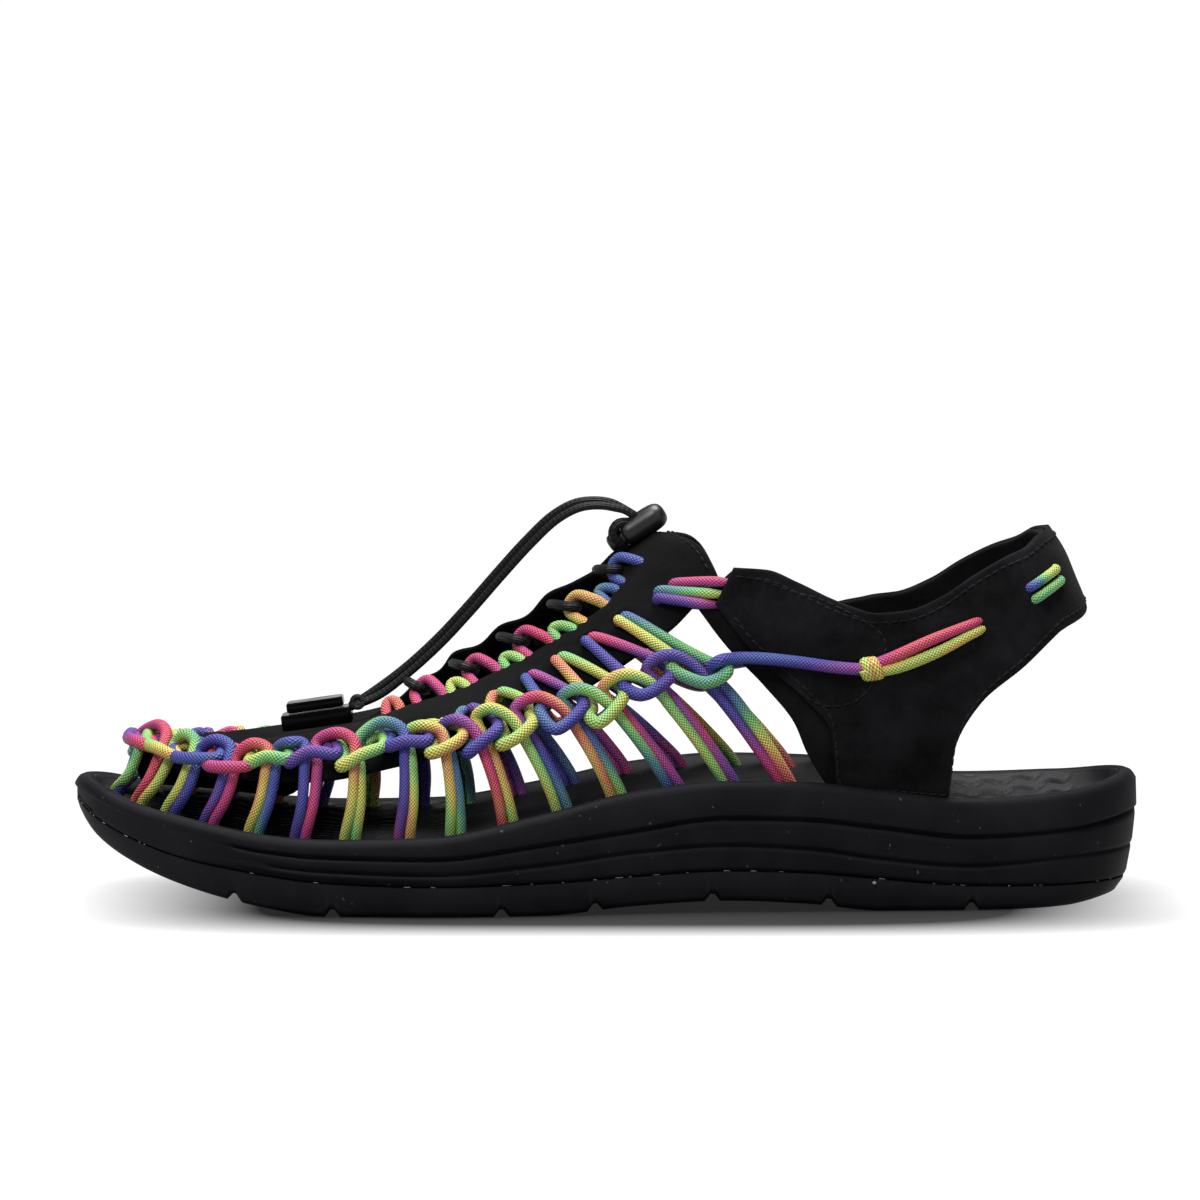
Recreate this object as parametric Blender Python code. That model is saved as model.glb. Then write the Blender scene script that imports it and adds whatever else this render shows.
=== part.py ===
"""Left sandal with an upper knotted from round cord, a suede vamp panel and a suede heel strap.

Sizes are in millimetres, and each mesh is scaled to metres as it is made.
X runs along the foot with the heel at +X, Y across it with the inner side at +Y, and Z up from the floor.
"""

import math
from collections import namedtuple

import bpy
import bmesh
import numpy as np
from mathutils import Matrix, Vector

MM = 0.001
GAP = 0.3
MERGE_WITHIN = 0.005
SHARP_ANGLE = math.radians(40.0)
LATERAL, MEDIAL = -1.0, 1.0
SIDES = {"lateral": LATERAL, "medial": MEDIAL}

# Sole
SOLE_LENGTH = 280.0
HALF_LENGTH = SOLE_LENGTH / 2
EDGE_STATIONS = 22
EDGE_SAMPLES = 400
BACK_FROM, BACK_TO = 104.0, 134.0
GROOVE_DEPTH = 2.2
GROOVE_FADE_FROM, GROOVE_FADE_TO = -104.0, -84.0
RIM_WIDTH = 4.6
RIM_STEP = 1.6
INSOLE_THICKNESS = 3.0
INSOLE_THIN_SHARE = 0.5
INSOLE_THIN_AT, INSOLE_FULL_AT = -138.0, -110.0
CAP_COLUMNS = 3
NOTCH_DEPTH = 2.2
NOTCH_TOP_HALF, NOTCH_MOUTH_HALF = 1.1, 2.2
NOTCH_MATCH = 0.01
NOTCH_PLACES = (-98.0, -72.0, -26.0, -2.0, 28.0, 58.0, 95.0)

Outline = namedtuple("Outline", "x centre half_width")
OUTLINE = [
    Outline(140.0, 0.0, 0.0),
    Outline(131.0, 0.0, 20.5),
    Outline(112.0, 0.0, 31.0),
    Outline(88.0, -0.5, 34.2),
    Outline(55.0, -1.5, 35.0),
    Outline(20.0, -2.5, 37.0),
    Outline(-15.0, -3.0, 42.2),
    Outline(-45.0, -1.5, 47.0),
    Outline(-75.0, 1.0, 47.6),
    Outline(-100.0, 4.0, 42.8),
    Outline(-120.0, 6.0, 32.5),
    Outline(-132.0, 7.2, 21.0),
    Outline(-140.0, 8.0, 0.0),
]

SoleLine = namedtuple("SoleLine", "x floor parting lower_groove upper_groove rim dish")
SOLE_LINES = [
    SoleLine(140.0, 1.5, 5.6, 14.0, 23.6, 33.4, 3.0),
    SoleLine(122.0, 0.0, 5.8, 13.2, 20.6, 30.4, 4.5),
    SoleLine(95.0, 0.0, 6.3, 11.4, 19.1, 29.0, 5.0),
    SoleLine(72.0, 0.0, 8.2, 13.4, 21.6, 31.2, 5.0),
    SoleLine(52.0, 2.0, 10.0, 16.2, 23.9, 33.6, 5.0),
    SoleLine(31.0, 3.0, 10.7, 17.3, 24.5, 34.0, 5.0),
    SoleLine(8.0, 2.0, 9.6, 15.8, 21.6, 31.6, 4.5),
    SoleLine(-15.0, 0.0, 8.3, 13.0, 18.4, 26.3, 4.0),
    SoleLine(-45.0, 0.0, 7.7, 10.8, 15.0, 20.6, 3.0),
    SoleLine(-72.0, 0.0, 8.6, 11.6, 15.4, 19.9, 2.5),
    SoleLine(-86.0, 1.6, 10.0, 12.8, 16.4, 20.6, 2.0),
    SoleLine(-111.0, 6.8, 14.0, 17.4, 20.6, 24.2, 1.6),
    SoleLine(-126.0, 12.0, 18.4, 21.0, 23.6, 26.9, 1.2),
    SoleLine(-134.0, 16.4, 21.8, 23.6, 26.2, 29.4, 0.8),
    SoleLine(-140.0, 22.0, 25.8, 26.8, 28.4, 31.0, 0.6),
]

# Side profiles of the outsole and midsole, from the lower edge up: each level is a height above one of
# the sole's lines, and how far in it lies from the outline at the sides and at the back
SideLevel = namedtuple("SideLevel", "line above inset back_inset groove")
OUTSOLE_LEVELS = [
    SideLevel("floor", 0.0, 2.4, 6.5, 0.0),
    SideLevel("floor", 1.6, 1.0, 4.6, 0.0),
    SideLevel("parting", -0.8, 1.4, 3.6, 0.0),
    SideLevel("parting", 0.0, 2.4, 4.2, 0.0),
]
MIDSOLE_LEVELS = [
    SideLevel("parting", GAP, 2.4, 3.6, 0.0),
    SideLevel("parting", 1.6, 1.7, 2.7, 0.0),
    SideLevel("lower_groove", -0.9, 1.3, 1.8, 0.0),
    SideLevel("lower_groove", 0.0, 1.3, 1.8, 0.7),
    SideLevel("lower_groove", 0.9, 1.0, 1.4, 0.0),
    SideLevel("upper_groove", -1.4, 0.8, 0.4, 0.0),
    SideLevel("upper_groove", -0.3, 0.8, 0.4, 1.0),
    SideLevel("upper_groove", 0.9, 0.0, 0.0, 0.5),
    SideLevel("upper_groove", 2.0, 0.0, 0.0, 0.0),
    SideLevel("rim", -1.6, 0.2, 0.4, 0.0),
    SideLevel("rim", -0.3, 1.4, 1.8, 0.0),
    SideLevel("rim", 0.0, 2.6, 2.8, 0.0),
    SideLevel("rim", -0.6, RIM_WIDTH, RIM_WIDTH, 0.0),
]

# Last of the foot: ribs run from the footbed's edge up to the crest of the instep
PAIRS = 15
LAST_PAIR_X = 47.5
FOOT_INSET = 9.6
FOOT_RISE = 2.4
RIB_LEAN = 0.45
RIB_BULGE = 3.0

Rib = namedtuple("Rib", "pair crest_x crest_y crest_z reach")
RIBS = [
    Rib(0.0, -98.0, 7.0, 41.0, 12.0),
    Rib(3.0, -88.0, 7.0, 42.5, 16.0),
    Rib(5.0, -73.0, 6.5, 45.5, 19.0),
    Rib(9.0, -46.0, 6.0, 53.0, 22.0),
    Rib(12.0, -25.0, 5.5, 64.0, 22.0),
    Rib(15.0, -3.0, 4.0, 79.0, 21.0),
    Rib(17.0, 10.0, 3.0, 90.0, 19.0),
    Rib(19.0, 20.0, 2.0, 97.0, 18.0),
]

# Knotted cord: each step is a place between two pairs, a shift along the chain in millimetres, a level
# (0 at the footbed, 1 at the links and 2 at the panel's holes), a lift off the last, and a share of the lean
CORD_RADIUS = 1.7
CORD_SIDES = 5
STRAND_APART = 2.1

Step = namedtuple("Step", "pair along level lift lean")
ARCH = [
    Step(0.0, STRAND_APART, 0.0, 0.0, 0.0),
    Step(0.0, STRAND_APART, 0.75, 2.8, 0.0),
    Step(0.20, 0.0, 1.3, 5.4, 0.0),
    Step(0.50, 0.0, 1.55, 6.4, 0.0),
    Step(0.80, 0.0, 1.3, 5.4, 0.0),
    Step(1.0, -STRAND_APART, 0.75, 2.8, 0.0),
    Step(1.0, -STRAND_APART, 0.0, 0.0, 0.0),
]
LAST_STRAND = ARCH[:2] + [Step(0.16, 0.0, 1.2, 8.8, 0.0)]
HOOK = [
    Step(0.0, -STRAND_APART, 2.0, 2.6, 0.0),
    Step(-0.30, 0.0, 1.5, 2.5, 0.6),
    Step(-0.34, 0.0, 1.1, 3.4, 0.2),
    Step(-0.26, 0.0, 0.88, 5.8, 0.0),
    Step(0.02, 0.0, 0.94, 6.4, 0.0),
    Step(0.32, 0.0, 1.1, 5.6, 0.2),
    Step(0.32, 0.0, 1.5, 2.6, 0.5),
    Step(0.0, STRAND_APART, 2.0, 2.6, 0.0),
]
TOE_HOOK = [
    Step(0.0, STRAND_APART, 2.0, 2.6, 0.0),
    Step(0.30, 0.0, 1.5, 2.6, 0.0),
    Step(0.26, 0.0, 1.0, 5.6, 0.0),
    Step(0.0, 0.0, 0.95, 6.4, 0.0),
    Step(-0.26, 0.0, 1.0, 5.6, 0.0),
    Step(-0.30, 0.0, 1.5, 2.6, 0.0),
    Step(0.0, -STRAND_APART, 2.0, 2.6, 0.0),
]
# How high the links and holes lie on each rib, how far each is drawn along the chain, and how far
# the hooks lean back
Chain = namedtuple("Chain", "pair link_up hole_up link_shift hole_shift lean")
CHAIN = [
    Chain(0.0, 0.30, 0.60, 0.0, 0.0, 0.0),
    Chain(1.0, 0.29, 0.55, 0.40, 0.40, 0.0),
    Chain(3.0, 0.25, 0.47, 0.40, 0.40, 0.0),
    Chain(5.0, 0.24, 0.43, 0.25, 0.25, 0.05),
    Chain(7.0, 0.27, 0.43, 0.08, 0.10, 0.10),
    Chain(9.0, 0.27, 0.46, 0.02, 0.0, 0.15),
    Chain(10.0, 0.25, 0.48, -0.20, -0.26, 0.20),
    Chain(12.0, 0.235, 0.54, -0.28, -0.45, 0.30),
    Chain(14.0, 0.24, 0.585, -0.33, -0.50, 0.35),
    Chain(15.0, 0.25, 0.60, -0.20, -0.46, 0.35),
]

# Vamp panel: shares up the rib of its lower and inner edges; its halves meet on the crest before the slit
PANEL_THICKNESS = 1.8
PANEL_ROWS = 4
SLIT_PAIR = 6.0
PANEL_LAST_PAIR = 17.2
PANEL_END_SWEEP, PANEL_SWEEP_FROM = 1.2, 13.0
PANEL_FRONT_COLUMNS, PANEL_SIDE_COLUMNS = 6, 11
CREST_NEAR = 0.95
PanelEdge = namedtuple("PanelEdge", "pair low high")
PANEL_EDGES = [
    PanelEdge(0.0, 0.44, 1.0),
    PanelEdge(3.0, 0.24, 1.0),
    PanelEdge(6.0, 0.21, 1.0),
    PanelEdge(8.0, 0.26, 0.82),
    PanelEdge(10.0, 0.30, 0.77),
    PanelEdge(13.7, 0.41, 0.75),
    PanelEdge(15.8, 0.49, 0.78),
    PanelEdge(17.2, 0.56, 0.90),
]

# Heel strap: each section is a line from the strap's lower edge to its collar, from the tip to the back
LINING_THICKNESS = 1.8
STRAP_THICKNESS = 1.5
STRAP_SETBACK = 7.0
HEEL_STRAIGHT_X = 80.0
HEEL_ROUNDNESS = 2.3
HEEL_CENTRE_Y = -0.7
HEEL_ROWS = 5
SETBACK_FROM, SETBACK_TO = 3.2, 4.6
HEEL_PLACES = (0.0, 0.8, 1.6, 2.4, 3.2, 4.0, 4.6, 5.2, 6.0, 7.0, 8.0, 9.0, 9.7, 10.3, 10.9, 11.4, 11.75, 12.0)

HeelSection = namedtuple("HeelSection", "place bottom_x bottom_z top_x top_z")
HEEL_SECTIONS = [
    HeelSection(0.0, 24.0, 78.7, 34.0, 89.4),
    HeelSection(1.0, 32.7, 68.2, 42.0, 89.4),
    HeelSection(2.0, 41.5, 59.0, 50.0, 85.2),
    HeelSection(3.0, 50.0, 48.0, 58.0, 80.8),
    HeelSection(4.0, 54.5, 38.5, 64.0, 78.2),
    HeelSection(5.0, 61.0, 33.4, 70.0, 76.7),
    HeelSection(6.0, 76.0, 32.2, 78.0, 77.4),
    HeelSection(7.0, 90.0, 30.6, 87.0, 81.0),
    HeelSection(8.0, 92.0, 42.0, 95.0, 86.2),
    HeelSection(9.0, 98.7, 53.7, 103.0, 90.5),
    HeelSection(10.0, 108.0, 62.8, 109.0, 93.0),
    HeelSection(11.0, 119.0, 71.0, 114.0, 95.6),
    HeelSection(12.0, 127.0, 76.3, 117.0, 97.0),
]
HeelLevel = namedtuple("HeelLevel", "z half_width back_x")
HEEL_LEVELS = [
    HeelLevel(28.0, 28.0, 131.0),
    HeelLevel(45.0, 30.6, 130.5),
    HeelLevel(60.0, 31.2, 129.5),
    HeelLevel(76.0, 29.4, 127.0),
    HeelLevel(84.0, 27.8, 124.0),
    HeelLevel(90.0, 26.4, 121.5),
    HeelLevel(97.0, 24.5, 117.0),
]

# Cord ends drawn along the heel strap: x and z on the strap, and a lift off its outer face
HeelStep = namedtuple("HeelStep", "x z lift radius")
KNOT_RADIUS = 3.6
HEEL_CORD_UPPER = [
    HeelStep(40.0, 64.4, 2.4, CORD_RADIUS),
    HeelStep(64.5, 63.4, 2.4, CORD_RADIUS),
    HeelStep(68.0, 63.4, 3.6, KNOT_RADIUS),
    HeelStep(72.0, 63.8, 3.6, KNOT_RADIUS),
    HeelStep(74.5, 65.6, 2.4, CORD_RADIUS),
    HeelStep(88.0, 71.6, 2.1, CORD_RADIUS),
    HeelStep(100.0, 76.4, 2.1, CORD_RADIUS),
]
HEEL_CORD_LOWER = [
    HeelStep(71.0, 62.6, 3.0, CORD_RADIUS),
    HeelStep(76.0, 62.9, 2.3, CORD_RADIUS),
    HeelStep(88.0, 67.2, 2.1, CORD_RADIUS),
    HeelStep(99.0, 72.6, 2.1, CORD_RADIUS),
]
BACK_CORD_HEIGHTS = {"upper": 88.4, "lower": 84.4}
BACK_CORD_SHORTS = (11.5, 7.0, 3.6, 1.4, 0.0)

# Strands from the panel's last holes to the tip of the heel strap
CollarStrand = namedtuple("CollarStrand", "name hole_x hole_z tip_x tip_z")
COLLAR_STRANDS = [
    CollarStrand("upper", 18.0, 87.6, 34.6, 87.4),
    CollarStrand("middle", 15.4, 84.4, 32.4, 83.6),
    CollarStrand("lower", 13.2, 81.0, 30.2, 79.6),
]
TIP_SHORT = 4.0
COLLAR_BOW = 3.6
PANEL_SEARCH_PAIRS, PANEL_SEARCH_UPS, PANEL_SEARCH_STEPS = (12.0, 18.0), (0.4, 0.8), 51

# Elastic lace, its lock and its end
LACE_RADIUS = 1.4
LACE_SIDES = 5
LACE_FIRST_PAIR, LACE_LAST_PAIR, LACE_CROSSINGS = 8.2, 15.8, 8
LACE_LIFT = LACE_RADIUS + 2 * GAP
LaceTurn = namedtuple("LaceTurn", "pair up")
LACE_TURNS = [
    LaceTurn(-0.28, 0.05),
    LaceTurn(-0.16, -0.04),
    LaceTurn(0.16, -0.04),
    LaceTurn(0.28, 0.05),
]
LOOP_APART = 1.75
LOOP_POINT_EVERY = 7.0
ROUTE_SAMPLES = 20
RoutePoint = namedtuple("RoutePoint", "x y z")
LACE_ROUTE = [
    RoutePoint(2.6, 3.0, 100.6),
    RoutePoint(-1.6, 3.0, 102.9),
    RoutePoint(-7.0, 3.2, 103.0),
    RoutePoint(-13.5, 3.6, 99.6),
    RoutePoint(-20.5, 4.2, 92.6),
    RoutePoint(-28.0, 4.8, 83.6),
    RoutePoint(-36.0, 5.2, 74.4),
    RoutePoint(-44.0, 5.4, 67.4),
    RoutePoint(-52.5, 5.0, 60.4),
    RoutePoint(-60.0, 4.0, 55.4),
    RoutePoint(-66.4, 3.2, 52.6),
]
END_CENTRE = RoutePoint(-75.6, 2.4, 49.4)
END_LENGTH, END_WIDTH, END_BODY_HEIGHT, END_SLAB_HEIGHT = 17.6, 11.0, 3.6, 2.6
END_SLAB_LENGTH, END_SLAB_WIDTH = 15.0, 9.0
END_TILT = math.radians(3.0)
END_CHAMFER, END_CORNER = 0.7, 1.2
LOCK_CENTRE = RoutePoint(9.6, 3.0, 98.6)
LOCK_TILT = math.radians(33.0)
LOCK_LENGTH, LOCK_RADIUS = 12.6, 4.3
LOCK_SIDES = 12
BUTTON_RADIUS, BUTTON_LENGTH, BUTTON_OUT = 2.5, 9.0, 4.6
BUTTON_TRAVEL = 2.5
BORE_DEPTH = BUTTON_LENGTH - BUTTON_OUT + BUTTON_TRAVEL + GAP
BORE_MOUTH = 2.0
# Shares of the barrel's half length and radius, and places and shares of the button's radius
BARREL_PROFILE = ((-1.0, 0.72), (-0.82, 0.9), (-0.3, 1.0), (0.3, 1.0), (0.75, 0.82), (1.0, 0.4))
BUTTON_PROFILE = ((0.0, 0.6), (0.5, 0.88), (1.3, 1.0), (BUTTON_LENGTH, 1.0))


def column(table, name):
    return np.array([getattr(row, name) for row in table])


def smooth_curve(at, values):
    """A curve through the rows that never overshoots them."""
    order = np.argsort(at)
    at, values = np.asarray(at, float)[order], np.asarray(values, float)[order]
    steps = np.diff(at)
    slopes = np.diff(values) / steps
    tangents = np.zeros(len(at))
    tangents[0], tangents[-1] = slopes[0], slopes[-1]
    before, after = slopes[:-1], slopes[1:]
    turning = before * after <= 0
    near, far = 2 * steps[1:] + steps[:-1], steps[1:] + 2 * steps[:-1]
    safe_before, safe_after = np.where(turning, 1.0, before), np.where(turning, 1.0, after)
    tangents[1:-1] = np.where(turning, 0.0, (near + far) / (near / safe_before + far / safe_after))

    def value_at(place):
        place = min(max(place, at[0]), at[-1])
        i = min(max(int(np.searchsorted(at, place)) - 1, 0), len(at) - 2)
        u = (place - at[i]) / steps[i]
        return (
            values[i] * (1 + 2 * u) * (1 - u) ** 2
            + tangents[i] * steps[i] * u * (1 - u) ** 2
            + values[i + 1] * u * u * (3 - 2 * u)
            + tangents[i + 1] * steps[i] * u * u * (u - 1)
        )

    return value_at


def ease(low, high, value):
    u = min(max((value - low) / (high - low), 0.0), 1.0)
    return u * u * (3 - 2 * u)


def unit(vector):
    return vector / np.linalg.norm(vector)


OUTLINE_ANGLES = np.arccos(column(OUTLINE, "x") / HALF_LENGTH)
centre_at = smooth_curve(OUTLINE_ANGLES, column(OUTLINE, "centre"))
half_width_at = smooth_curve(OUTLINE_ANGLES, column(OUTLINE, "half_width"))
sole_line = {
    name: smooth_curve(column(SOLE_LINES, "x"), column(SOLE_LINES, name)) for name in SoleLine._fields[1:]
}


def edge_point(turn):
    """Plan point on the sole's edge: turn 0 is the heel, pi the toe, and the lateral side lies between."""
    angle = turn if turn <= math.pi else 2 * math.pi - turn
    side = LATERAL if turn <= math.pi else MEDIAL
    return np.array([HALF_LENGTH * math.cos(angle), centre_at(angle) + side * half_width_at(angle)])


def edge_outward(turn):
    step = 0.004
    ahead, behind = edge_point((turn + step) % (2 * math.pi)), edge_point((turn - step) % (2 * math.pi))
    along = unit(ahead - behind)
    return np.array([-along[1], along[0]])


def footbed_height(x, across):
    """Height of the footbed, where across is -1 or 1 at the sole's edge and 0 on its middle line."""
    return sole_line["rim"](x) - RIM_STEP - sole_line["dish"](x) * (1 - across * across)


def across_at(x, y):
    angle = math.acos(min(max(x / HALF_LENGTH, -1.0), 1.0))
    return (y - centre_at(angle)) / max(half_width_at(angle), 1.0)


def insole_thickness(x):
    full = ease(INSOLE_THIN_AT, INSOLE_FULL_AT, x)
    return INSOLE_THICKNESS * (INSOLE_THIN_SHARE + (1 - INSOLE_THIN_SHARE) * full)


def edge_turns(places=()):
    """Turns round the sole, with the same stations on both sides, and any extra places along X."""
    angles = list(np.linspace(0.0, math.pi, EDGE_STATIONS + 1))
    angles += [math.acos(place / HALF_LENGTH) for place in places]
    angles = sorted(angles)
    return angles + [2 * math.pi - angle for angle in reversed(angles[1:-1])]


def make_ring(turns, inset_at, height_at):
    ring = []
    for turn in turns:
        point, outward = edge_point(turn), edge_outward(turn)
        plan = point - outward * inset_at(point[0])
        ring.append(np.array([plan[0], plan[1], height_at(point[0])]))
    return ring


def back_blend(inset, back_inset):
    return lambda x: inset + (back_inset - inset) * ease(BACK_FROM, BACK_TO, x)


class Form:
    """Points and faces of one closed shape, gathered ring by ring."""

    def __init__(self):
        self.points = []
        self.faces = []

    def add(self, points):
        first = len(self.points)
        self.points.extend(points)
        return list(range(first, len(self.points)))

    def bridge(self, lower, upper, closed=True):
        count = len(lower)
        for i in range(count if closed else count - 1):
            j = (i + 1) % count
            self.faces.append((lower[i], lower[j], upper[j], upper[i]))

    def cap(self, ring, columns=0, height_at=None):
        """Close a sole ring with rows across it, which follow height_at(x, across) in between."""
        half = len(ring) // 2
        rows = []
        for station in range(1, half):
            left, right = ring[station], ring[len(ring) - station]
            inner = []
            for k in range(1, columns + 1):
                share = k / (columns + 1)
                point = self.points[left] * (1 - share) + self.points[right] * share
                if height_at:
                    point[2] = height_at(point[0], 2 * share - 1)
                inner.append(point)
            rows.append([left] + self.add(inner) + [right])
        for row, following in zip(rows, rows[1:]):
            self.bridge(row, following, closed=False)
        for tip, row in ((ring[0], rows[0]), (ring[half], rows[-1])):
            for a, b in zip(row, row[1:]):
                self.faces.append((tip, a, b))


def make_material(name, colour, roughness):
    material = bpy.data.materials.new(name)
    material.use_nodes = True
    shader = material.node_tree.nodes["Principled BSDF"]
    shader.inputs["Base Color"].default_value = (*colour, 1.0)
    shader.inputs["Roughness"].default_value = roughness
    shader.inputs["Metallic"].default_value = 0.0
    return material


def make_object(name, form, material):
    """Turn a form into a closed mesh object in metres with its faces pointing out."""
    mesh = bpy.data.meshes.new(name)
    mesh.from_pydata([Vector(point) * MM for point in form.points], [], form.faces)
    work = bmesh.new()
    work.from_mesh(mesh)
    bmesh.ops.triangulate(work, faces=work.faces)
    bmesh.ops.remove_doubles(work, verts=work.verts, dist=MERGE_WITHIN * MM)
    bmesh.ops.recalc_face_normals(work, faces=work.faces)
    work.to_mesh(mesh)
    work.free()
    mesh.materials.append(material)
    mesh.shade_smooth()
    mesh.set_sharp_from_angle(angle=SHARP_ANGLE)
    made = bpy.data.objects.new(name, mesh)
    bpy.context.scene.collection.objects.link(made)
    return made


def make_outsole(material):
    """Rubber sole, rounded along its lower edge, with cross notches and a wrap at the toe."""
    mouths = [place + side * NOTCH_MOUTH_HALF for place in NOTCH_PLACES for side in (-1, 1)]
    tops = [place + side * NOTCH_TOP_HALF for place in NOTCH_PLACES for side in (-1, 1)]
    turns = edge_turns(mouths + tops)

    form = Form()
    rings = []
    for level in OUTSOLE_LEVELS:

        def height_at(x, level=level):
            notched = level.line == "floor" and any(abs(x - top) < NOTCH_MATCH for top in tops)
            return sole_line[level.line](x) + level.above + (NOTCH_DEPTH if notched else 0.0)

        rings.append(form.add(make_ring(turns, back_blend(level.inset, level.back_inset), height_at)))
    for lower, upper in zip(rings, rings[1:]):
        form.bridge(lower, upper)
    form.cap(rings[0])
    form.cap(rings[-1])
    return make_object("outsole", form, material)


def make_midsole(material):
    """Foam midsole with two grooves along its side, a rim and a tray for the footbed."""
    turns = edge_turns()
    form = Form()
    rings = []
    for level in MIDSOLE_LEVELS:
        inset = back_blend(level.inset, level.back_inset)

        def inset_at(x, inset=inset, depth=level.groove * GROOVE_DEPTH):
            return inset(x) + depth * ease(GROOVE_FADE_FROM, GROOVE_FADE_TO, x)

        def height_at(x, level=level):
            return sole_line[level.line](x) + level.above

        rings.append(form.add(make_ring(turns, inset_at, height_at)))

    def tray(x, across):
        return footbed_height(x, across) - insole_thickness(x) - GAP

    rings.append(form.add(make_ring(turns, lambda x: RIM_WIDTH, lambda x: tray(x, 1.0))))
    for lower, upper in zip(rings, rings[1:]):
        form.bridge(lower, upper)
    form.cap(rings[0])
    form.cap(rings[-1], CAP_COLUMNS, tray)
    return make_object("midsole", form, material)


def make_insole(material):
    """Footbed that lies in the rim's tray, dished along its length."""
    turns = edge_turns()
    form = Form()

    def underside(x, across):
        return footbed_height(x, across) - insole_thickness(x)

    def inset(x):
        return RIM_WIDTH + GAP

    lower = form.add(make_ring(turns, inset, lambda x: underside(x, 1.0)))
    upper = form.add(make_ring(turns, inset, lambda x: footbed_height(x, 1.0)))
    form.bridge(lower, upper)
    form.cap(lower, CAP_COLUMNS, underside)
    form.cap(upper, CAP_COLUMNS, footbed_height)
    return make_object("insole", form, material)


def edge_lengths(side):
    """Turns from the toe back along one side, with the length of edge passed at each."""
    turns = math.pi + side * np.linspace(0.0, math.pi, EDGE_SAMPLES)
    points = np.array([edge_point(turn) for turn in turns])
    passed = np.concatenate([[0.0], np.cumsum(np.linalg.norm(np.diff(points, axis=0), axis=1))])
    return turns, points, passed


EDGE_LENGTHS = {side: edge_lengths(side) for side in (LATERAL, MEDIAL)}
PAIR_SPACING = {
    side: float(np.interp(LAST_PAIR_X, points[:, 0], passed)) / PAIRS
    for side, (turns, points, passed) in EDGE_LENGTHS.items()
}
rib_column = {name: smooth_curve(column(RIBS, "pair"), column(RIBS, name)) for name in Rib._fields[1:]}


def rib_points(pair):
    """Four control points of the rib at a pair; pairs count back from the toe, medial ones below zero."""
    side = LATERAL if pair >= 0 else MEDIAL
    number = abs(pair)
    turns, points, passed = EDGE_LENGTHS[side]
    turn = float(np.interp(number * PAIR_SPACING[side], passed, turns))
    outward = edge_outward(turn)
    plan = edge_point(turn) - outward * FOOT_INSET
    foot = np.array([plan[0], plan[1], footbed_height(plan[0], across_at(*plan)) + FOOT_RISE])
    crest = np.array([rib_column[name](number) for name in ("crest_x", "crest_y", "crest_z")])
    out = np.array([outward[0], outward[1], 0.0])
    shoulder = foot + out * RIB_BULGE
    shoulder[0] += RIB_LEAN * (crest[0] - foot[0]) * abs(outward[1])
    shoulder[2] = crest[2]
    return foot, shoulder, crest + out * rib_column["reach"](number), crest


def last_point(pair, up):
    a, b, c, d = rib_points(pair)
    v = 1 - up
    return a * v**3 + b * 3 * v * v * up + c * 3 * v * up * up + d * up**3


def last_outward(pair, up):
    step = 0.02
    along = last_point(pair + step, up) - last_point(pair - step, up)
    rise = last_point(pair, up + step) - last_point(pair, up - step)
    return unit(np.cross(along, rise))


def on_last(pair, up, lift):
    return last_point(pair, up) + last_outward(pair, up) * lift


chain_column = {name: smooth_curve(column(CHAIN, "pair"), column(CHAIN, name)) for name in Chain._fields[1:]}


def chain_place(number, level, lean_share):
    """Pair number and share up the rib of a level of the chain; numbers below zero are the other side's."""
    link_up, hole_up, link_shift, hole_shift, lean = (curve(abs(number)) for curve in chain_column.values())
    up = float(np.interp(level, (0.0, 1.0, 2.0), (0.0, link_up, hole_up)))
    shift = float(np.interp(level, (0.0, 1.0, 2.0), (0.0, link_shift, hole_shift)))
    return number + math.copysign(1.0, number) * (shift + lean * lean_share), up


def cord_path(steps, pair, side):
    """Places of one arch or hook, from its table, on the side given."""
    path = []
    for step in steps:
        number, up = chain_place(pair + step.pair, step.level, step.lean)
        spacing = np.linalg.norm(last_point(number + 0.5, up) - last_point(number - 0.5, up))
        path.append(on_last(-side * (number + step.along / spacing), up, step.lift))
    return path


def tube(form, path, radius, sides):
    """Add a closed tube along a path, with rings carried along without twist."""
    path = [np.asarray(point, float) for point in path]
    radii = radius if hasattr(radius, "__len__") else [radius] * len(path)
    across = None
    rings = []
    for i, point in enumerate(path):
        ahead, behind = path[min(i + 1, len(path) - 1)], path[max(i - 1, 0)]
        along = unit(ahead - behind)
        if across is None:
            across = np.cross(along, [0.0, 0.0, 1.0] if abs(along[2]) < 0.9 else [1.0, 0.0, 0.0])
        across = unit(across - along * np.dot(across, along))
        other = np.cross(along, across)
        angles = [2 * math.pi * k / sides for k in range(sides)]
        rings.append(form.add(
            [point + radii[i] * (math.cos(a) * across + math.sin(a) * other) for a in angles]
        ))
    for lower, upper in zip(rings, rings[1:]):
        form.bridge(lower, upper)
    form.faces.append(tuple(reversed(rings[0])))
    form.faces.append(tuple(rings[-1]))


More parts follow.
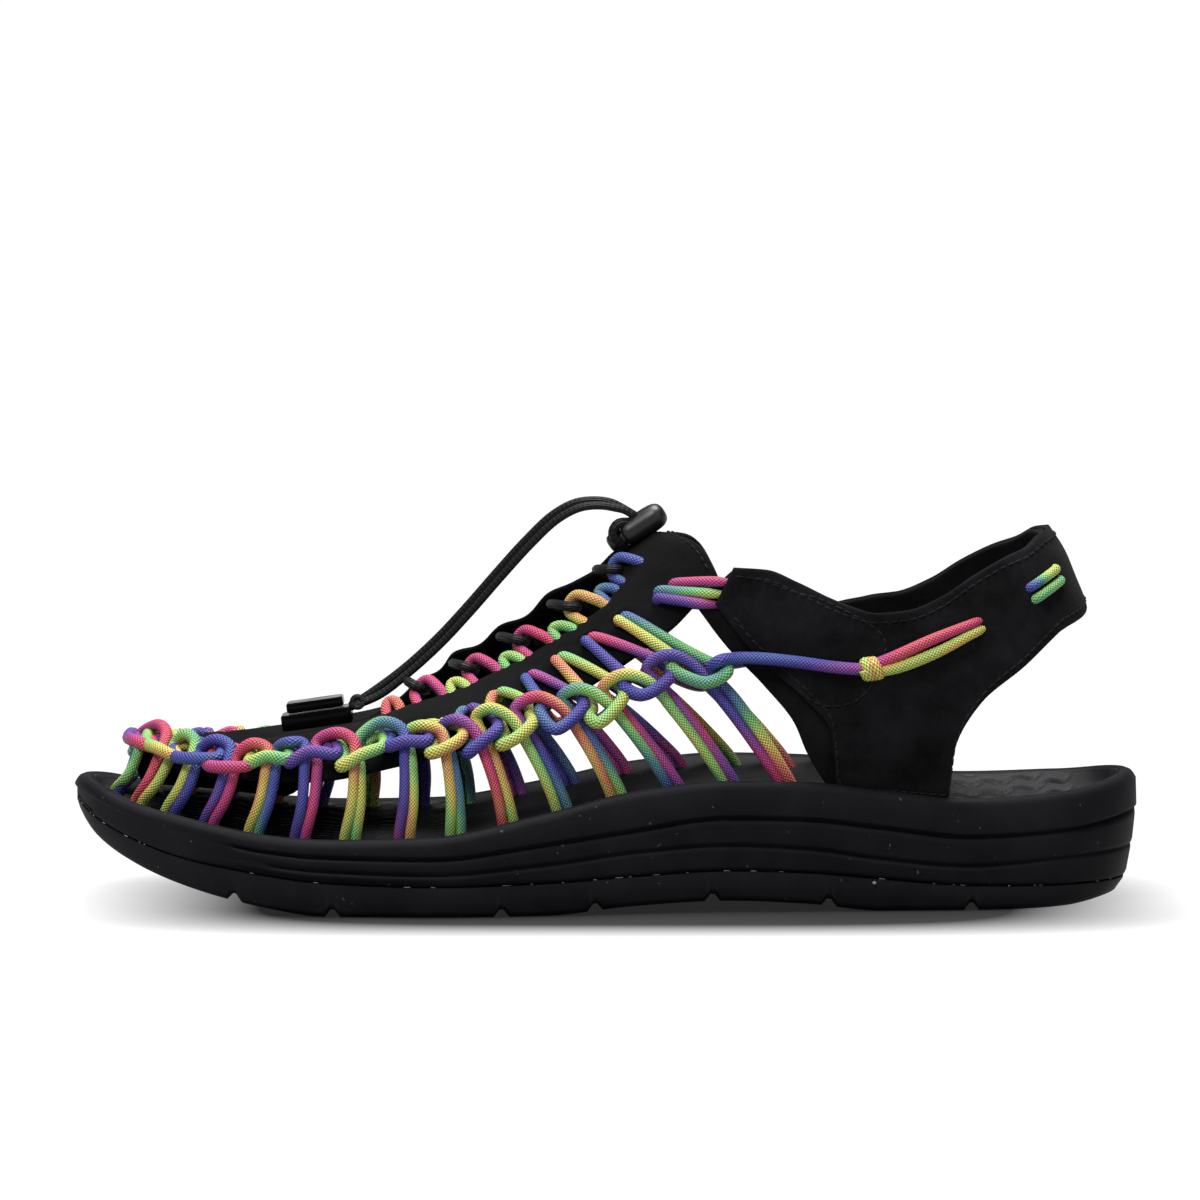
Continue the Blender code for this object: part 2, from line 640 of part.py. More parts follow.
def make_cord_upper(material):
    """Lacing cord: arches from the footbed linked by hooks from the panel, joined where they cross."""
    sets = {"arches_even": Form(), "arches_odd": Form(), "hooks_even": Form(), "hooks_odd": Form()}
    for side in (LATERAL, MEDIAL):
        for pair in range(PAIRS):
            form = sets["arches_odd" if pair % 2 else "arches_even"]
            tube(form, cord_path(ARCH, pair, side), CORD_RADIUS, CORD_SIDES)
        for pair in range(1, PAIRS + 1):
            form = sets["hooks_odd" if pair % 2 else "hooks_even"]
            tube(form, cord_path(HOOK, pair, side), CORD_RADIUS, CORD_SIDES)
        tube(sets["arches_odd"], cord_path(LAST_STRAND, PAIRS, side), CORD_RADIUS, CORD_SIDES)
    tube(sets["hooks_even"], cord_path(TOE_HOOK, 0, LATERAL), CORD_RADIUS, CORD_SIDES)
    objects = [make_object(f"cord_{name}", form, material) for name, form in sets.items()]
    cord = objects[0]
    cord.name = "cord_upper"
    for addition in objects[1:]:
        join(cord, addition)


panel_edge = {
    name: smooth_curve(column(PANEL_EDGES, "pair"), column(PANEL_EDGES, name)) for name in ("low", "high")
}


def panel_point(pair, share, lift):
    """Point on the panel, where share runs from its lower edge to its inner one."""
    number = abs(pair)
    low, high = panel_edge["low"](number), panel_edge["high"](number)
    up = low + share * (high - low)
    if up > CREST_NEAR and number <= SLIT_PAIR:
        outward = unit(last_outward(number, CREST_NEAR) + last_outward(-number, CREST_NEAR))
        return last_point(pair, up) + outward * lift
    swept = number + PANEL_END_SWEEP * share * ease(PANEL_SWEEP_FROM, PANEL_LAST_PAIR, number)
    return on_last(math.copysign(swept, pair), up, lift)


def make_vamp_panel(material):
    """Suede panel round the toe and up both sides of the slit, one piece with its halves met at the front."""
    front = list(np.linspace(0.0, SLIT_PAIR, PANEL_FRONT_COLUMNS + 1))
    sides = list(np.linspace(SLIT_PAIR, PANEL_LAST_PAIR, PANEL_SIDE_COLUMNS + 1)[1:])
    pairs = [-pair for pair in reversed(front[1:] + sides)] + front + sides
    shares = np.linspace(0.0, 1.0, PANEL_ROWS)
    form = Form()
    outer, inner = [], []
    for pair in pairs:
        outer.append(form.add([panel_point(pair, share, 0.0) for share in shares]))
        inner.append(form.add([panel_point(pair, share, -PANEL_THICKNESS) for share in shares]))
    for grid in (outer, inner):
        for row, following in zip(grid, grid[1:]):
            form.bridge(row, following, closed=False)
    form.bridge([row[0] for row in outer], [row[0] for row in inner], closed=False)
    for half in (slice(0, len(sides) + 1), slice(-len(sides) - 1, None)):
        form.bridge([row[-1] for row in outer[half]], [row[-1] for row in inner[half]], closed=False)
    for end in (0, -1):
        form.bridge(outer[end], inner[end], closed=False)
    return make_object("vamp_panel", form, material)


heel_section = {
    name: smooth_curve(column(HEEL_SECTIONS, "place"), column(HEEL_SECTIONS, name))
    for name in HeelSection._fields[1:]
}
heel_half_width = smooth_curve(column(HEEL_LEVELS, "z"), column(HEEL_LEVELS, "half_width"))
heel_back_x = smooth_curve(column(HEEL_LEVELS, "z"), column(HEEL_LEVELS, "back_x"))


def heel_wall_point(x, z, side):
    """Point on the outer face of the heel lining: straight along the ankle, then round the back."""
    reach = heel_back_x(z) - HEEL_STRAIGHT_X
    share = min(max((x - HEEL_STRAIGHT_X) / reach, 0.0), 1.0)
    width = heel_half_width(z) * (1 - share**HEEL_ROUNDNESS) ** (1 / HEEL_ROUNDNESS)
    return np.array([min(x, heel_back_x(z)), HEEL_CENTRE_Y + side * width, z])


def heel_outward(x, z, side):
    step = 0.3
    if x > heel_back_x(z) - 2 * step:
        slope = heel_back_x(z + step) - heel_back_x(z - step)
        return unit(np.array([2 * step, 0.0, -slope]))
    along = heel_wall_point(x + step, z, side) - heel_wall_point(x - step, z, side)
    rise = heel_wall_point(x, z + step, side) - heel_wall_point(x, z - step, side)
    return unit(np.cross(along, rise) * -side)


def on_heel(x, z, side, lift):
    return heel_wall_point(x, z, side) + heel_outward(x, z, side) * lift


def make_heel_wall(name, setback, inner_lift, thickness, material):
    """A wall of the heel strap: a sheet from tip to tip round the heel, with its lower edge cut away."""
    form = Form()
    columns = [(place, LATERAL) for place in HEEL_PLACES]
    columns += [(place, MEDIAL) for place in reversed(HEEL_PLACES[:-1])]
    inner, outer = [], []
    for place, side in columns:
        section = {field: curve(place) for field, curve in heel_section.items()}
        shift = setback * (1 - ease(SETBACK_FROM, SETBACK_TO, place))
        rows = np.linspace(0.0, 1.0, HEEL_ROWS)
        xs = section["bottom_x"] + shift + rows * (section["top_x"] - section["bottom_x"])
        zs = section["bottom_z"] + rows * (section["top_z"] - section["bottom_z"])
        if place == HEEL_PLACES[-1]:
            xs = [heel_back_x(z) for z in zs]
        inner.append(form.add([on_heel(x, z, side, inner_lift) for x, z in zip(xs, zs)]))
        outer.append(form.add([on_heel(x, z, side, inner_lift + thickness) for x, z in zip(xs, zs)]))
    for grid in (outer, inner):
        for row, following in zip(grid, grid[1:]):
            form.bridge(row, following, closed=False)
    for end in (0, -1):
        form.bridge([row[end] for row in outer], [row[end] for row in inner], closed=False)
        form.bridge(outer[end], inner[end], closed=False)
    return make_object(name, form, material)


STRAP_FACE = GAP + STRAP_THICKNESS


def make_heel_cords(material):
    """The cord's two drawn ends on each side, with a knot, and the runs that show behind the heel."""
    for name, side in SIDES.items():
        upper, lower = Form(), Form()
        for form, steps in ((upper, HEEL_CORD_UPPER), (lower, HEEL_CORD_LOWER)):
            path = [on_heel(step.x, step.z, side, STRAP_FACE + step.lift) for step in steps]
            radii = [step.radius for step in steps]
            if form is upper:
                strand_end = cord_path(LAST_STRAND, PAIRS, side)[-1]
                path = [strand_end + unit(path[0] - strand_end) * (2 * CORD_RADIUS + GAP)] + path
                radii = [CORD_RADIUS] + radii
            tube(form, path, radii, CORD_SIDES)
        cord = make_object(f"heel_cord_{name}", upper, material)
        join(cord, make_object(f"heel_cord_{name}_lower", lower, material))
    for name, z in BACK_CORD_HEIGHTS.items():
        form = Form()
        xs = [heel_back_x(z) - short for short in BACK_CORD_SHORTS]
        path = [on_heel(x, z, LATERAL, STRAP_FACE + CORD_RADIUS + 2 * GAP) for x in xs]
        path += [on_heel(x, z, MEDIAL, STRAP_FACE + CORD_RADIUS + 2 * GAP) for x in reversed(xs[:-1])]
        tube(form, path, CORD_RADIUS, CORD_SIDES)
        make_object(f"heel_cord_back_{name}", form, material)


def make_collar_strands(material):
    """Short strands that tie the panel's back corners to the tips of the heel strap."""
    for name, side in SIDES.items():
        for strand in COLLAR_STRANDS:
            form = Form()
            hole = panel_place(strand.hole_x, strand.hole_z, side)
            tip = on_heel(strand.tip_x - TIP_SHORT, strand.tip_z, side, CORD_RADIUS + 3 * GAP)
            middle = (hole + tip) / 2 + np.array([0.0, side * COLLAR_BOW, 0.0])
            tube(form, [hole, middle, tip], CORD_RADIUS, CORD_SIDES)
            make_object(f"collar_cord_{name}_{strand.name}", form, material)


def panel_place(x, z, side):
    """Place on the panel's outer face nearest to x and z, lifted by half a cord."""
    best, miss = None, math.inf
    for pair in np.linspace(*PANEL_SEARCH_PAIRS, PANEL_SEARCH_STEPS):
        for up in np.linspace(*PANEL_SEARCH_UPS, PANEL_SEARCH_STEPS):
            point = last_point(-side * pair, up)
            far = math.hypot(point[0] - x, point[2] - z)
            if far < miss:
                best, miss = (pair, up), far
    return on_last(-side * best[0], best[1], CORD_RADIUS + GAP)


def join(base, addition):
    """Join one object to another with a union, and keep the added one as a hidden guide."""
    union = base.modifiers.new("join", "BOOLEAN")
    union.operation = "UNION"
    union.solver = "EXACT"
    union.object = addition
    addition.hide_render = True
    addition.display_type = "WIRE"


def make_lace_crossings(material):
    """Elastic lace that crosses the slit from edge to edge, with a turn over the panel at each edge."""
    form = Form()
    path = []
    for i, pair in enumerate(np.linspace(LACE_FIRST_PAIR, LACE_LAST_PAIR, LACE_CROSSINGS + 1)):
        side = LATERAL if i % 2 else MEDIAL
        edge = panel_edge["high"](pair)
        for turn in LACE_TURNS:
            path.append(on_last(-side * (pair + turn.pair), edge + turn.up, LACE_LIFT))
    tube(form, path, LACE_RADIUS, LACE_SIDES)
    make_object("lace_crossings", form, material)


def smooth_route(points, every):
    """Even points along a smooth curve through a route."""
    points = [np.array(point) for point in points]
    padded = [2 * points[0] - points[1]] + points + [2 * points[-1] - points[-2]]
    fine = []
    for a, b, c, d in zip(padded, padded[1:], padded[2:], padded[3:]):
        for u in np.linspace(0.0, 1.0, ROUTE_SAMPLES, endpoint=False):
            fine.append(0.5 * (2 * b + (c - a) * u + (2 * a - 5 * b + 4 * c - d) * u**2
                               + (3 * b - a - 3 * c + d) * u**3))
    fine = np.array(fine + [points[-1]])
    passed = np.concatenate([[0.0], np.cumsum(np.linalg.norm(np.diff(fine, axis=0), axis=1))])
    count = int(round(passed[-1] / every)) + 1
    stops = np.linspace(0.0, passed[-1], count)
    return [[np.interp(stop, passed, fine[:, k]) for k in range(3)] for stop in stops]


def make_lace_loop(material):
    """The two free strands of the elastic lace, from the lock to the lace end."""
    for name, side in (("near", -1.0), ("far", 1.0)):
        curve = bpy.data.curves.new(f"lace_loop_{name}", "CURVE")
        curve.dimensions = "3D"
        curve.bevel_depth = LACE_RADIUS * MM
        curve.bevel_resolution = 2
        curve.use_fill_caps = True
        spline = curve.splines.new("POLY")
        route = smooth_route(LACE_ROUTE, LOOP_POINT_EVERY)
        spline.points.add(len(route) - 1)
        for place, point in zip(route, spline.points):
            point.co = (place[0] * MM, (place[1] + side * LOOP_APART) * MM, place[2] * MM, 1.0)
        curve.materials.append(material)
        bpy.context.scene.collection.objects.link(bpy.data.objects.new(f"lace_loop_{name}", curve))


def block(form, centre, length, width, height, chamfer, tilt):
    """A block with its upright edges and top edges cut back."""
    rings = []
    for z, inset in ((-height / 2, chamfer / 2), (height / 2 - chamfer, 0.0), (height / 2, chamfer)):
        half_x, half_y = length / 2 - inset, width / 2 - inset
        plan = []
        for side_x, side_y in ((1, 1), (-1, 1), (-1, -1), (1, -1)):
            corner = [
                (side_x * half_x, side_y * (half_y - END_CORNER)),
                (side_x * (half_x - END_CORNER), side_y * half_y),
            ]
            plan += corner if side_x == side_y else reversed(corner)
        ring = []
        for x, y in plan:
            turned = (x * math.cos(tilt) - z * math.sin(tilt), y, x * math.sin(tilt) + z * math.cos(tilt))
            ring.append(np.array(centre) + np.array(turned))
        rings.append(form.add(ring))
    for lower, upper in zip(rings, rings[1:]):
        form.bridge(lower, upper)
    form.faces.append(tuple(reversed(rings[0])))
    form.faces.append(tuple(rings[-1]))


def make_lace_end(material):
    """Clip that closes the end of the elastic lace: a body with a smaller slab on it."""
    up = np.array([-math.sin(END_TILT), 0.0, math.cos(END_TILT)])
    body, slab = Form(), Form()
    block(body, END_CENTRE, END_LENGTH, END_WIDTH, END_BODY_HEIGHT, END_CHAMFER, END_TILT)
    slab_centre = np.array(END_CENTRE) + up * ((END_BODY_HEIGHT + END_SLAB_HEIGHT) / 2 + GAP)
    block(slab, slab_centre, END_SLAB_LENGTH, END_SLAB_WIDTH, END_SLAB_HEIGHT, END_CHAMFER, END_TILT)
    make_object("lace_end_body", body, material)
    make_object("lace_end_slab", slab, material)


def lathe(form, profile):
    """Turn a profile of places along the lock's axis and radii, closed at both ends."""
    axis = np.array([math.cos(LOCK_TILT), 0.0, math.sin(LOCK_TILT)])
    path = [np.array(LOCK_CENTRE) + axis * at for at, radius in profile]
    tube(form, path, [radius for at, radius in profile], LOCK_SIDES)


def make_lock(barrel_material, button_material):
    """Lace lock: a rounded barrel with a blind bore, and a push button that slides in it."""
    half = LOCK_LENGTH / 2
    barrel, bore, button = Form(), Form(), Form()
    lathe(barrel, [(at * half, share * LOCK_RADIUS) for at, share in BARREL_PROFILE])
    bore_radius = BUTTON_RADIUS + GAP
    lathe(bore, [(-half - BORE_MOUTH, bore_radius), (-half + BORE_DEPTH, bore_radius)])
    tip = -half - BUTTON_OUT
    lathe(button, [(tip + at, share * BUTTON_RADIUS) for at, share in BUTTON_PROFILE])
    made = make_object("lock_barrel", barrel, barrel_material)
    cutter = make_object("lock_bore", bore, barrel_material)
    cut = made.modifiers.new("bore", "BOOLEAN")
    cut.operation = "DIFFERENCE"
    cut.solver = "EXACT"
    cut.object = cutter
    cutter.hide_render = True
    cutter.display_type = "WIRE"
    pushed = make_object("lock_button", button, button_material)
    axis_point = Vector(LOCK_CENTRE) * MM
    pushed.data.transform(Matrix.Translation(-axis_point))
    pushed.location = axis_point


def main():
    for old in list(bpy.data.objects):
        bpy.data.objects.remove(old, do_unlink=True)
    rubber = make_material("outsole_rubber", (0.010, 0.010, 0.012), 0.62)
    foam = make_material("midsole_foam", (0.012, 0.012, 0.014), 0.7)
    fabric = make_material("footbed_fabric", (0.008, 0.008, 0.009), 0.8)
    suede = make_material("suede", (0.012, 0.012, 0.013), 0.9)
    make_outsole(rubber)
    make_midsole(foam)
    make_insole(fabric)
    make_vamp_panel(suede)
    cord = make_material("dyed_cord", (0.35, 0.12, 0.45), 0.7)
    make_cord_upper(cord)
    make_heel_wall("heel_lining", 0.0, -LINING_THICKNESS, LINING_THICKNESS, suede)
    make_heel_wall("heel_strap", STRAP_SETBACK, GAP, STRAP_THICKNESS, suede)
    make_heel_cords(cord)
    make_collar_strands(cord)
    elastic = make_material("elastic", (0.010, 0.010, 0.010), 0.6)
    plastic = make_material("plastic", (0.008, 0.008, 0.008), 0.25)
    make_lace_crossings(elastic)
    make_lace_loop(elastic)
    make_lace_end(plastic)
    make_lock(elastic, plastic)


main()
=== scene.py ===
"""Looks of a left sandal whose upper is knotted from dyed round cord.

Sizes in the tables are millimetres; each mesh is scaled to metres as it is made.
X runs from toe to heel, Y to the inner side of the foot, and Z up from the floor.
"""

import math
from collections import namedtuple

import bmesh
import bpy
import numpy as np
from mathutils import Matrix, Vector


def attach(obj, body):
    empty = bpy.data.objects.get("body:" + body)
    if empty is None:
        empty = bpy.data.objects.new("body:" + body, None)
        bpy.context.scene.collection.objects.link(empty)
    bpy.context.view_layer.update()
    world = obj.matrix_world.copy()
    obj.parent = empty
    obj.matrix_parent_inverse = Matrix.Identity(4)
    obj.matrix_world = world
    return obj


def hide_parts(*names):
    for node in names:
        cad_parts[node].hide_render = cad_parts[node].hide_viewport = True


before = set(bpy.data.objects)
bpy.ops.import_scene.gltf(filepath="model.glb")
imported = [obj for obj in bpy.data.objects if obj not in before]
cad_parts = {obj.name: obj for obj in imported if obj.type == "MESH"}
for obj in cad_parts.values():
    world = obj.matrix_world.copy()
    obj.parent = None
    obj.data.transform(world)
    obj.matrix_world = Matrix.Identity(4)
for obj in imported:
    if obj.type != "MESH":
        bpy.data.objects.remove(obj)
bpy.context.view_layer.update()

MM = 0.001
GAP = 0.3
LATERAL, MEDIAL = -1.0, 1.0
BODY, BUTTON_BODY = "sandal", "lock_button"
FULL_TURN = 2 * math.pi
WELD = 0.004
SHARP_EDGE = 38


def table(columns, *rows):
    """Rows of a table, with a name for each column."""
    row = namedtuple("row", columns)
    return [row(*values) for values in rows]


# Sole, with the lines of the solid
HALF_LENGTH = 140.0
GROOVE_DEPTH = 1.5
GROOVE_STARTS = {"upper_groove": -97.0, "lower_groove": -87.0}
GROOVE_START_LENGTH = 3.0
SMOOTH_TOE_INSET, SMOOTH_TOE_FROM, SMOOTH_TOE_TO = 0.6, -108.0, -94.0
SMOOTH_TOE_SEAM, SEAM_INSET = 0.45, 1.9
TOE_NARROW_FROM, TOE_NARROW_TO, TOE_NARROW = -126.0, -88.0, 0.3
BACK_FROM, BACK_TO = 104.0, 134.0
RIM_WIDTH = 4.6
RIM_STEP = 1.6
NOTCH_DEPTH = 1.9
NOTCH_TOP_HALF, NOTCH_MOUTH_HALF = 0.5, 2.0
NOTCH_PLACES = (-95.8, -69.8, -26.0, -2.0, 28.0, 58.0, 95.0)

OUTLINE = table(
    "x centre half_width",
    (140.0, 0.0, 0.0),
    (131.0, 0.0, 20.5),
    (112.0, 0.0, 31.0),
    (88.0, -0.5, 34.2),
    (55.0, -1.5, 35.0),
    (20.0, -2.5, 37.0),
    (-15.0, -3.0, 42.2),
    (-45.0, -1.5, 47.0),
    (-75.0, 1.0, 47.6),
    (-100.0, 4.0, 42.8),
    (-120.0, 6.0, 32.5),
    (-132.0, 7.2, 21.0),
    (-140.0, 8.0, 0.0),
)

SOLE_LINES = table(
    "x floor parting lower_groove upper_groove rim dish",
    (140.0, 1.5, 5.6, 14.0, 23.6, 33.4, 3.0),
    (122.0, 0.0, 5.8, 13.2, 20.6, 30.4, 4.5),
    (95.0, 0.0, 6.3, 11.4, 19.1, 29.0, 5.0),
    (72.0, 0.0, 8.2, 13.4, 21.6, 31.2, 5.0),
    (52.0, 2.0, 10.0, 16.2, 23.9, 33.6, 5.0),
    (31.0, 3.0, 10.7, 17.3, 24.5, 34.0, 5.0),
    (8.0, 2.0, 9.6, 15.8, 21.6, 31.6, 4.5),
    (-15.0, 0.0, 8.3, 13.0, 18.4, 26.3, 4.0),
    (-45.0, 0.0, 7.7, 10.8, 15.0, 20.6, 3.0),
    (-72.0, 0.0, 8.6, 11.6, 15.4, 19.9, 2.5),
    (-86.0, 1.6, 10.0, 12.8, 16.4, 20.6, 2.0),
    (-111.0, 6.8, 14.0, 17.4, 20.6, 24.2, 1.6),
    (-126.0, 12.0, 18.4, 21.0, 23.6, 26.9, 1.2),
    (-134.0, 16.4, 21.8, 23.6, 26.2, 29.4, 0.8),
    (-140.0, 22.0, 25.8, 26.8, 28.4, 31.0, 0.6),
)

SideLevel = namedtuple("SideLevel", "line above inset back_inset groove")
OUTSOLE_LEVELS = [
    SideLevel("floor", 0.0, 2.4, 6.5, 0.0),
    SideLevel("floor", 0.5, 1.5, 5.3, 0.0),
    SideLevel("floor", 1.6, 1.0, 4.6, 0.0),
    SideLevel("parting", -0.9, 1.3, 3.4, 0.0),
    SideLevel("parting", -0.25, 1.4, 3.3, 0.0),
    SideLevel("parting", 0.0, 2.0, 3.7, 0.0),
]
MIDSOLE_LEVELS = [
    SideLevel("parting", GAP, 2.0, 3.5, 0.0),
    SideLevel("parting", 0.5, 1.5, 2.9, 0.0),
    SideLevel("parting", 1.4, 1.4, 2.5, 0.0),
    SideLevel("lower_groove", -1.3, 1.1, 1.5, 0.0),
    SideLevel("lower_groove", -0.42, 1.1, 1.5, 0.0),
    SideLevel("lower_groove", -0.14, 1.1, 1.5, 0.5),
    SideLevel("lower_groove", 0.14, 1.05, 1.4, 0.5),
    SideLevel("lower_groove", 0.42, 1.0, 1.3, 0.0),
    SideLevel("lower_groove", 1.4, 0.8, 1.0, 0.0),
    SideLevel("upper_groove", -2.0, 0.7, 0.4, 0.0),
    SideLevel("upper_groove", -0.6, 0.7, 0.5, 0.0),
    SideLevel("upper_groove", -0.3, 0.7, 0.5, 0.8),
    SideLevel("upper_groove", 0.1, 0.5, 0.3, 1.0),
    SideLevel("upper_groove", 0.35, 0.3, 0.15, 0.6),
    SideLevel("upper_groove", 0.6, 0.15, 0.0, 0.0),
    SideLevel("upper_groove", 1.2, 0.05, 0.0, 0.0),
    SideLevel("rim", -2.2, 0.0, 0.2, 0.0),
    SideLevel("rim", -1.2, 0.5, 0.8, 0.0),
    SideLevel("rim", -0.4, 1.2, 1.5, 0.0),
    SideLevel("rim", 0.0, 2.2, 2.5, 0.0),
    SideLevel("rim", -0.1, 3.3, 3.4, 0.0),
    SideLevel("rim", -0.6, RIM_WIDTH, RIM_WIDTH, 0.0),
]

# Last of the foot
PAIRS = 15
LAST_PAIR_X = 47.5
FOOT_INSET = 9.6
FOOT_RISE = 2.4
RIB_LEAN = 0.45
RIB_BULGE = 3.0
RIBS = table(
    "pair crest_x crest_y crest_z reach",
    (0.0, -98.0, 7.0, 41.0, 12.0),
    (3.0, -88.0, 7.0, 42.5, 16.0),
    (5.0, -73.0, 6.5, 45.5, 19.0),
    (9.0, -46.0, 6.0, 53.0, 22.0),
    (12.0, -25.0, 5.5, 64.0, 22.0),
    (15.0, -3.0, 4.0, 79.0, 21.0),
    (17.0, 10.0, 3.0, 90.0, 19.0),
    (19.0, 20.0, 2.0, 97.0, 18.0),
)
HOLES = table(
    "pair up shift",
    (0.0, 0.52, 0.0),
    (1.0, 0.47, 0.40),
    (3.0, 0.41, 0.40),
    (5.0, 0.345, 0.25),
    (7.0, 0.39, 0.10),
    (9.0, 0.44, 0.0),
    (10.0, 0.48, -0.26),
    (12.0, 0.54, -0.45),
    (14.0, 0.585, -0.50),
    (15.0, 0.60, -0.46),
)

# Cord
CORD_SIDES = 14
CORD_RING_EVERY = 0.7
STRAND_APART = 1.4
LEG_RADIUS, ARCH_RADIUS, LINK_RADIUS = 1.42, 1.58, 1.68
HEEL_CORD_RADIUS = 1.6

# Places of the chain as seen from the side: each link bars a pair of strands and each arch joins two pairs
LINKS = table(
    "pair left_x left_z low_x low_z right_x right_z",
    (1, -125.5, 41.0, -123.0, 41.0, -119.0, 40.0),
    (2, -120.0, 40.5, -116.0, 40.0, -111.5, 38.5),
    (3, -112.0, 38.5, -107.5, 38.5, -100.0, 39.0),
    (4, -102.5, 37.0, -97.5, 37.0, -91.5, 37.5),
    (5, -91.5, 38.0, -87.0, 40.0, -81.5, 39.5),
    (6, -81.0, 38.5, -76.0, 41.5, -69.0, 41.0),
    (7, -67.5, 38.0, -62.5, 41.0, -57.0, 43.0),
    (8, -55.5, 43.0, -51.0, 44.5, -45.5, 44.5),
    (9, -44.5, 41.5, -40.5, 43.0, -36.5, 45.5),
    (10, -35.0, 41.5, -31.5, 44.5, -27.5, 47.5),
    (11, -26.5, 43.5, -22.5, 45.5, -18.5, 49.0),
    (12, -16.5, 51.5, -12.5, 47.5, -5.5, 53.0),
    (13, -4.0, 50.5, -1.5, 49.0, 5.0, 55.5),
    (14, 5.0, 58.0, 10.0, 56.0, 17.0, 60.5),
    (15, 17.5, 62.5, 26.0, 59.0, 31.5, 61.5),
)
ARCHES = table(
    "pair left_x left_z top_x top_z right_x right_z",
    (0, -125.0, 38.4, -122.0, 42.0, -122.0, 39.2),
    (1, -122.5, 41.5, -117.5, 44.5, -115.0, 43.0),
    (2, -112.0, 41.0, -109.0, 43.6, -106.5, 42.0),
    (3, -105.0, 40.0, -101.0, 43.0, -97.0, 41.5),
    (4, -95.0, 39.2, -91.0, 42.7, -87.0, 41.5),
    (5, -84.5, 41.4, -80.5, 43.5, -77.5, 43.0),
    (6, -74.0, 43.5, -68.5, 46.0, -64.5, 44.0),
    (7, -63.5, 44.0, -57.5, 48.7, -52.0, 47.0),
    (8, -50.5, 46.2, -46.5, 48.2, -42.0, 46.5),
    (9, -41.5, 47.9, -37.5, 49.7, -33.5, 47.0),
    (10, -33.0, 50.0, -29.5, 52.5, -24.0, 50.0),
    (11, -23.0, 52.0, -17.5, 55.5, -11.0, 52.5),
    (12, -11.0, 55.0, -6.5, 57.5, 0.0, 54.5),
    (13, -0.5, 57.0, 4.5, 61.0, 11.5, 59.0),
    (14, 11.0, 62.5, 16.5, 66.0, 22.5, 63.5),
    (15, 27.5, 62.0, 29.5, 64.5, 33.0, 65.0),
)

# Vamp panel
PANEL_THICKNESS = 1.8
SLIT_PAIR = 6.0
PANEL_LAST_PAIR = 17.2
PANEL_END_SWEEP, PANEL_END_BULGE, PANEL_SWEEP_FROM = 1.2, 0.5, 14.0
CLOSED_PAIR = 15.45
FAR_HIGH, FAR_CURL, NEAR_CURL = 0.95, 6.4, 0.4
CURL_FROM, CURL_FULL, CURL_FADE, CURL_TO = 6.4, 10.4, 14.6, 16.2
FAR_WAVE, WAVE_PAIR, WAVE_LENGTH = 0.8, 8.45, 1.8
GUARD_SHARE, GUARD_FROM, GUARD_FULL, GUARD_FADE, GUARD_TO = 0.97, 0.2, 1.8, 5.2, 6.5
DIMPLE_DEPTH, DIMPLE_RADIUS, PUCKER_RISE, PUCKER_RADIUS, PUCKER_WIDTH = 1.7, 2.0, 0.5, 3.4, 1.0
CREST_NEAR = 0.95
PANEL_WAVE, PANEL_WAVE_SIZE, PANEL_SEED = 0.18, 22.0, 4
PANEL_SAG, SAG_FROM, SAG_TO = 2.8, 5.0, 9.5
CREST_RISE, RISE_FROM, RISE_FULL, RISE_FADE, RISE_TO = 3.4, 15.3, 16.3, 17.4, 18.6
PANEL_EDGES = table(
    "pair low high",
    (0.0, 0.44, 1.0),
    (3.0, 0.24, 1.0),
    (6.0, 0.21, 1.0),
    (8.0, 0.26, 0.82),
    (10.0, 0.30, 0.77),
    (13.7, 0.41, 0.75),
    (14.6, 0.445, 0.755),
    (15.2, 0.465, 0.86),
    (15.5, 0.478, 0.985),
    (17.2, 0.56, 1.0),
)

# Heel strap
LINING_THICKNESS = 1.8
STRAP_THICKNESS = 1.5
HEEL_STRAIGHT_X = 80.0
HEEL_ROUNDNESS = 2.3
HEEL_CENTRE_Y = -0.7
HEEL_SECTIONS = table(
    "place lining_x lining_z strap_x strap_z top_x top_z",
    (0.0, 23.3, 78.6, 28.6, 78.4, 33.5, 87.8),
    (1.0, 32.0, 67.1, 37.6, 67.3, 42.0, 87.4),
    (2.0, 41.2, 57.4, 45.1, 60.6, 50.0, 84.4),
    (3.0, 48.6, 48.4, 52.0, 54.4, 58.0, 80.6),
    (4.0, 52.6, 39.4, 58.4, 46.4, 64.0, 78.2),
    (5.0, 60.6, 29.8, 60.9, 29.6, 70.0, 76.7),
    (6.0, 76.0, 28.6, 76.0, 28.4, 78.0, 77.4),
    (7.0, 88.0, 27.6, 88.0, 27.4, 87.0, 81.0),
    (8.0, 90.2, 42.0, 90.2, 42.0, 95.0, 86.2),
    (9.0, 96.8, 53.7, 96.8, 53.7, 103.0, 90.5),
    (10.0, 108.0, 62.8, 108.0, 62.8, 109.0, 93.0),
    (11.0, 117.2, 71.0, 117.2, 71.0, 112.4, 95.6),
    (12.0, 124.6, 76.3, 124.6, 76.3, 114.7, 97.0),
)
LINING, STRAP = "lining", "strap"
HEEL_LEVELS = table(
    "z half_width back_x",
    (28.0, 28.0, 128.7),
    (45.0, 30.6, 128.2),
    (60.0, 31.2, 127.2),
    (76.0, 29.4, 124.7),
    (84.0, 27.8, 121.7),
    (90.0, 26.4, 119.2),
    (97.0, 24.5, 114.7),
)
STRAP_FACE = GAP + STRAP_THICKNESS
FRONT_PINCH, PINCH_FROM, PINCH_TO = 6.0, 28.0, 62.0
MEDIAL_DROP, DROP_FROM, DROP_TO = 8.0, 2.0, 5.5

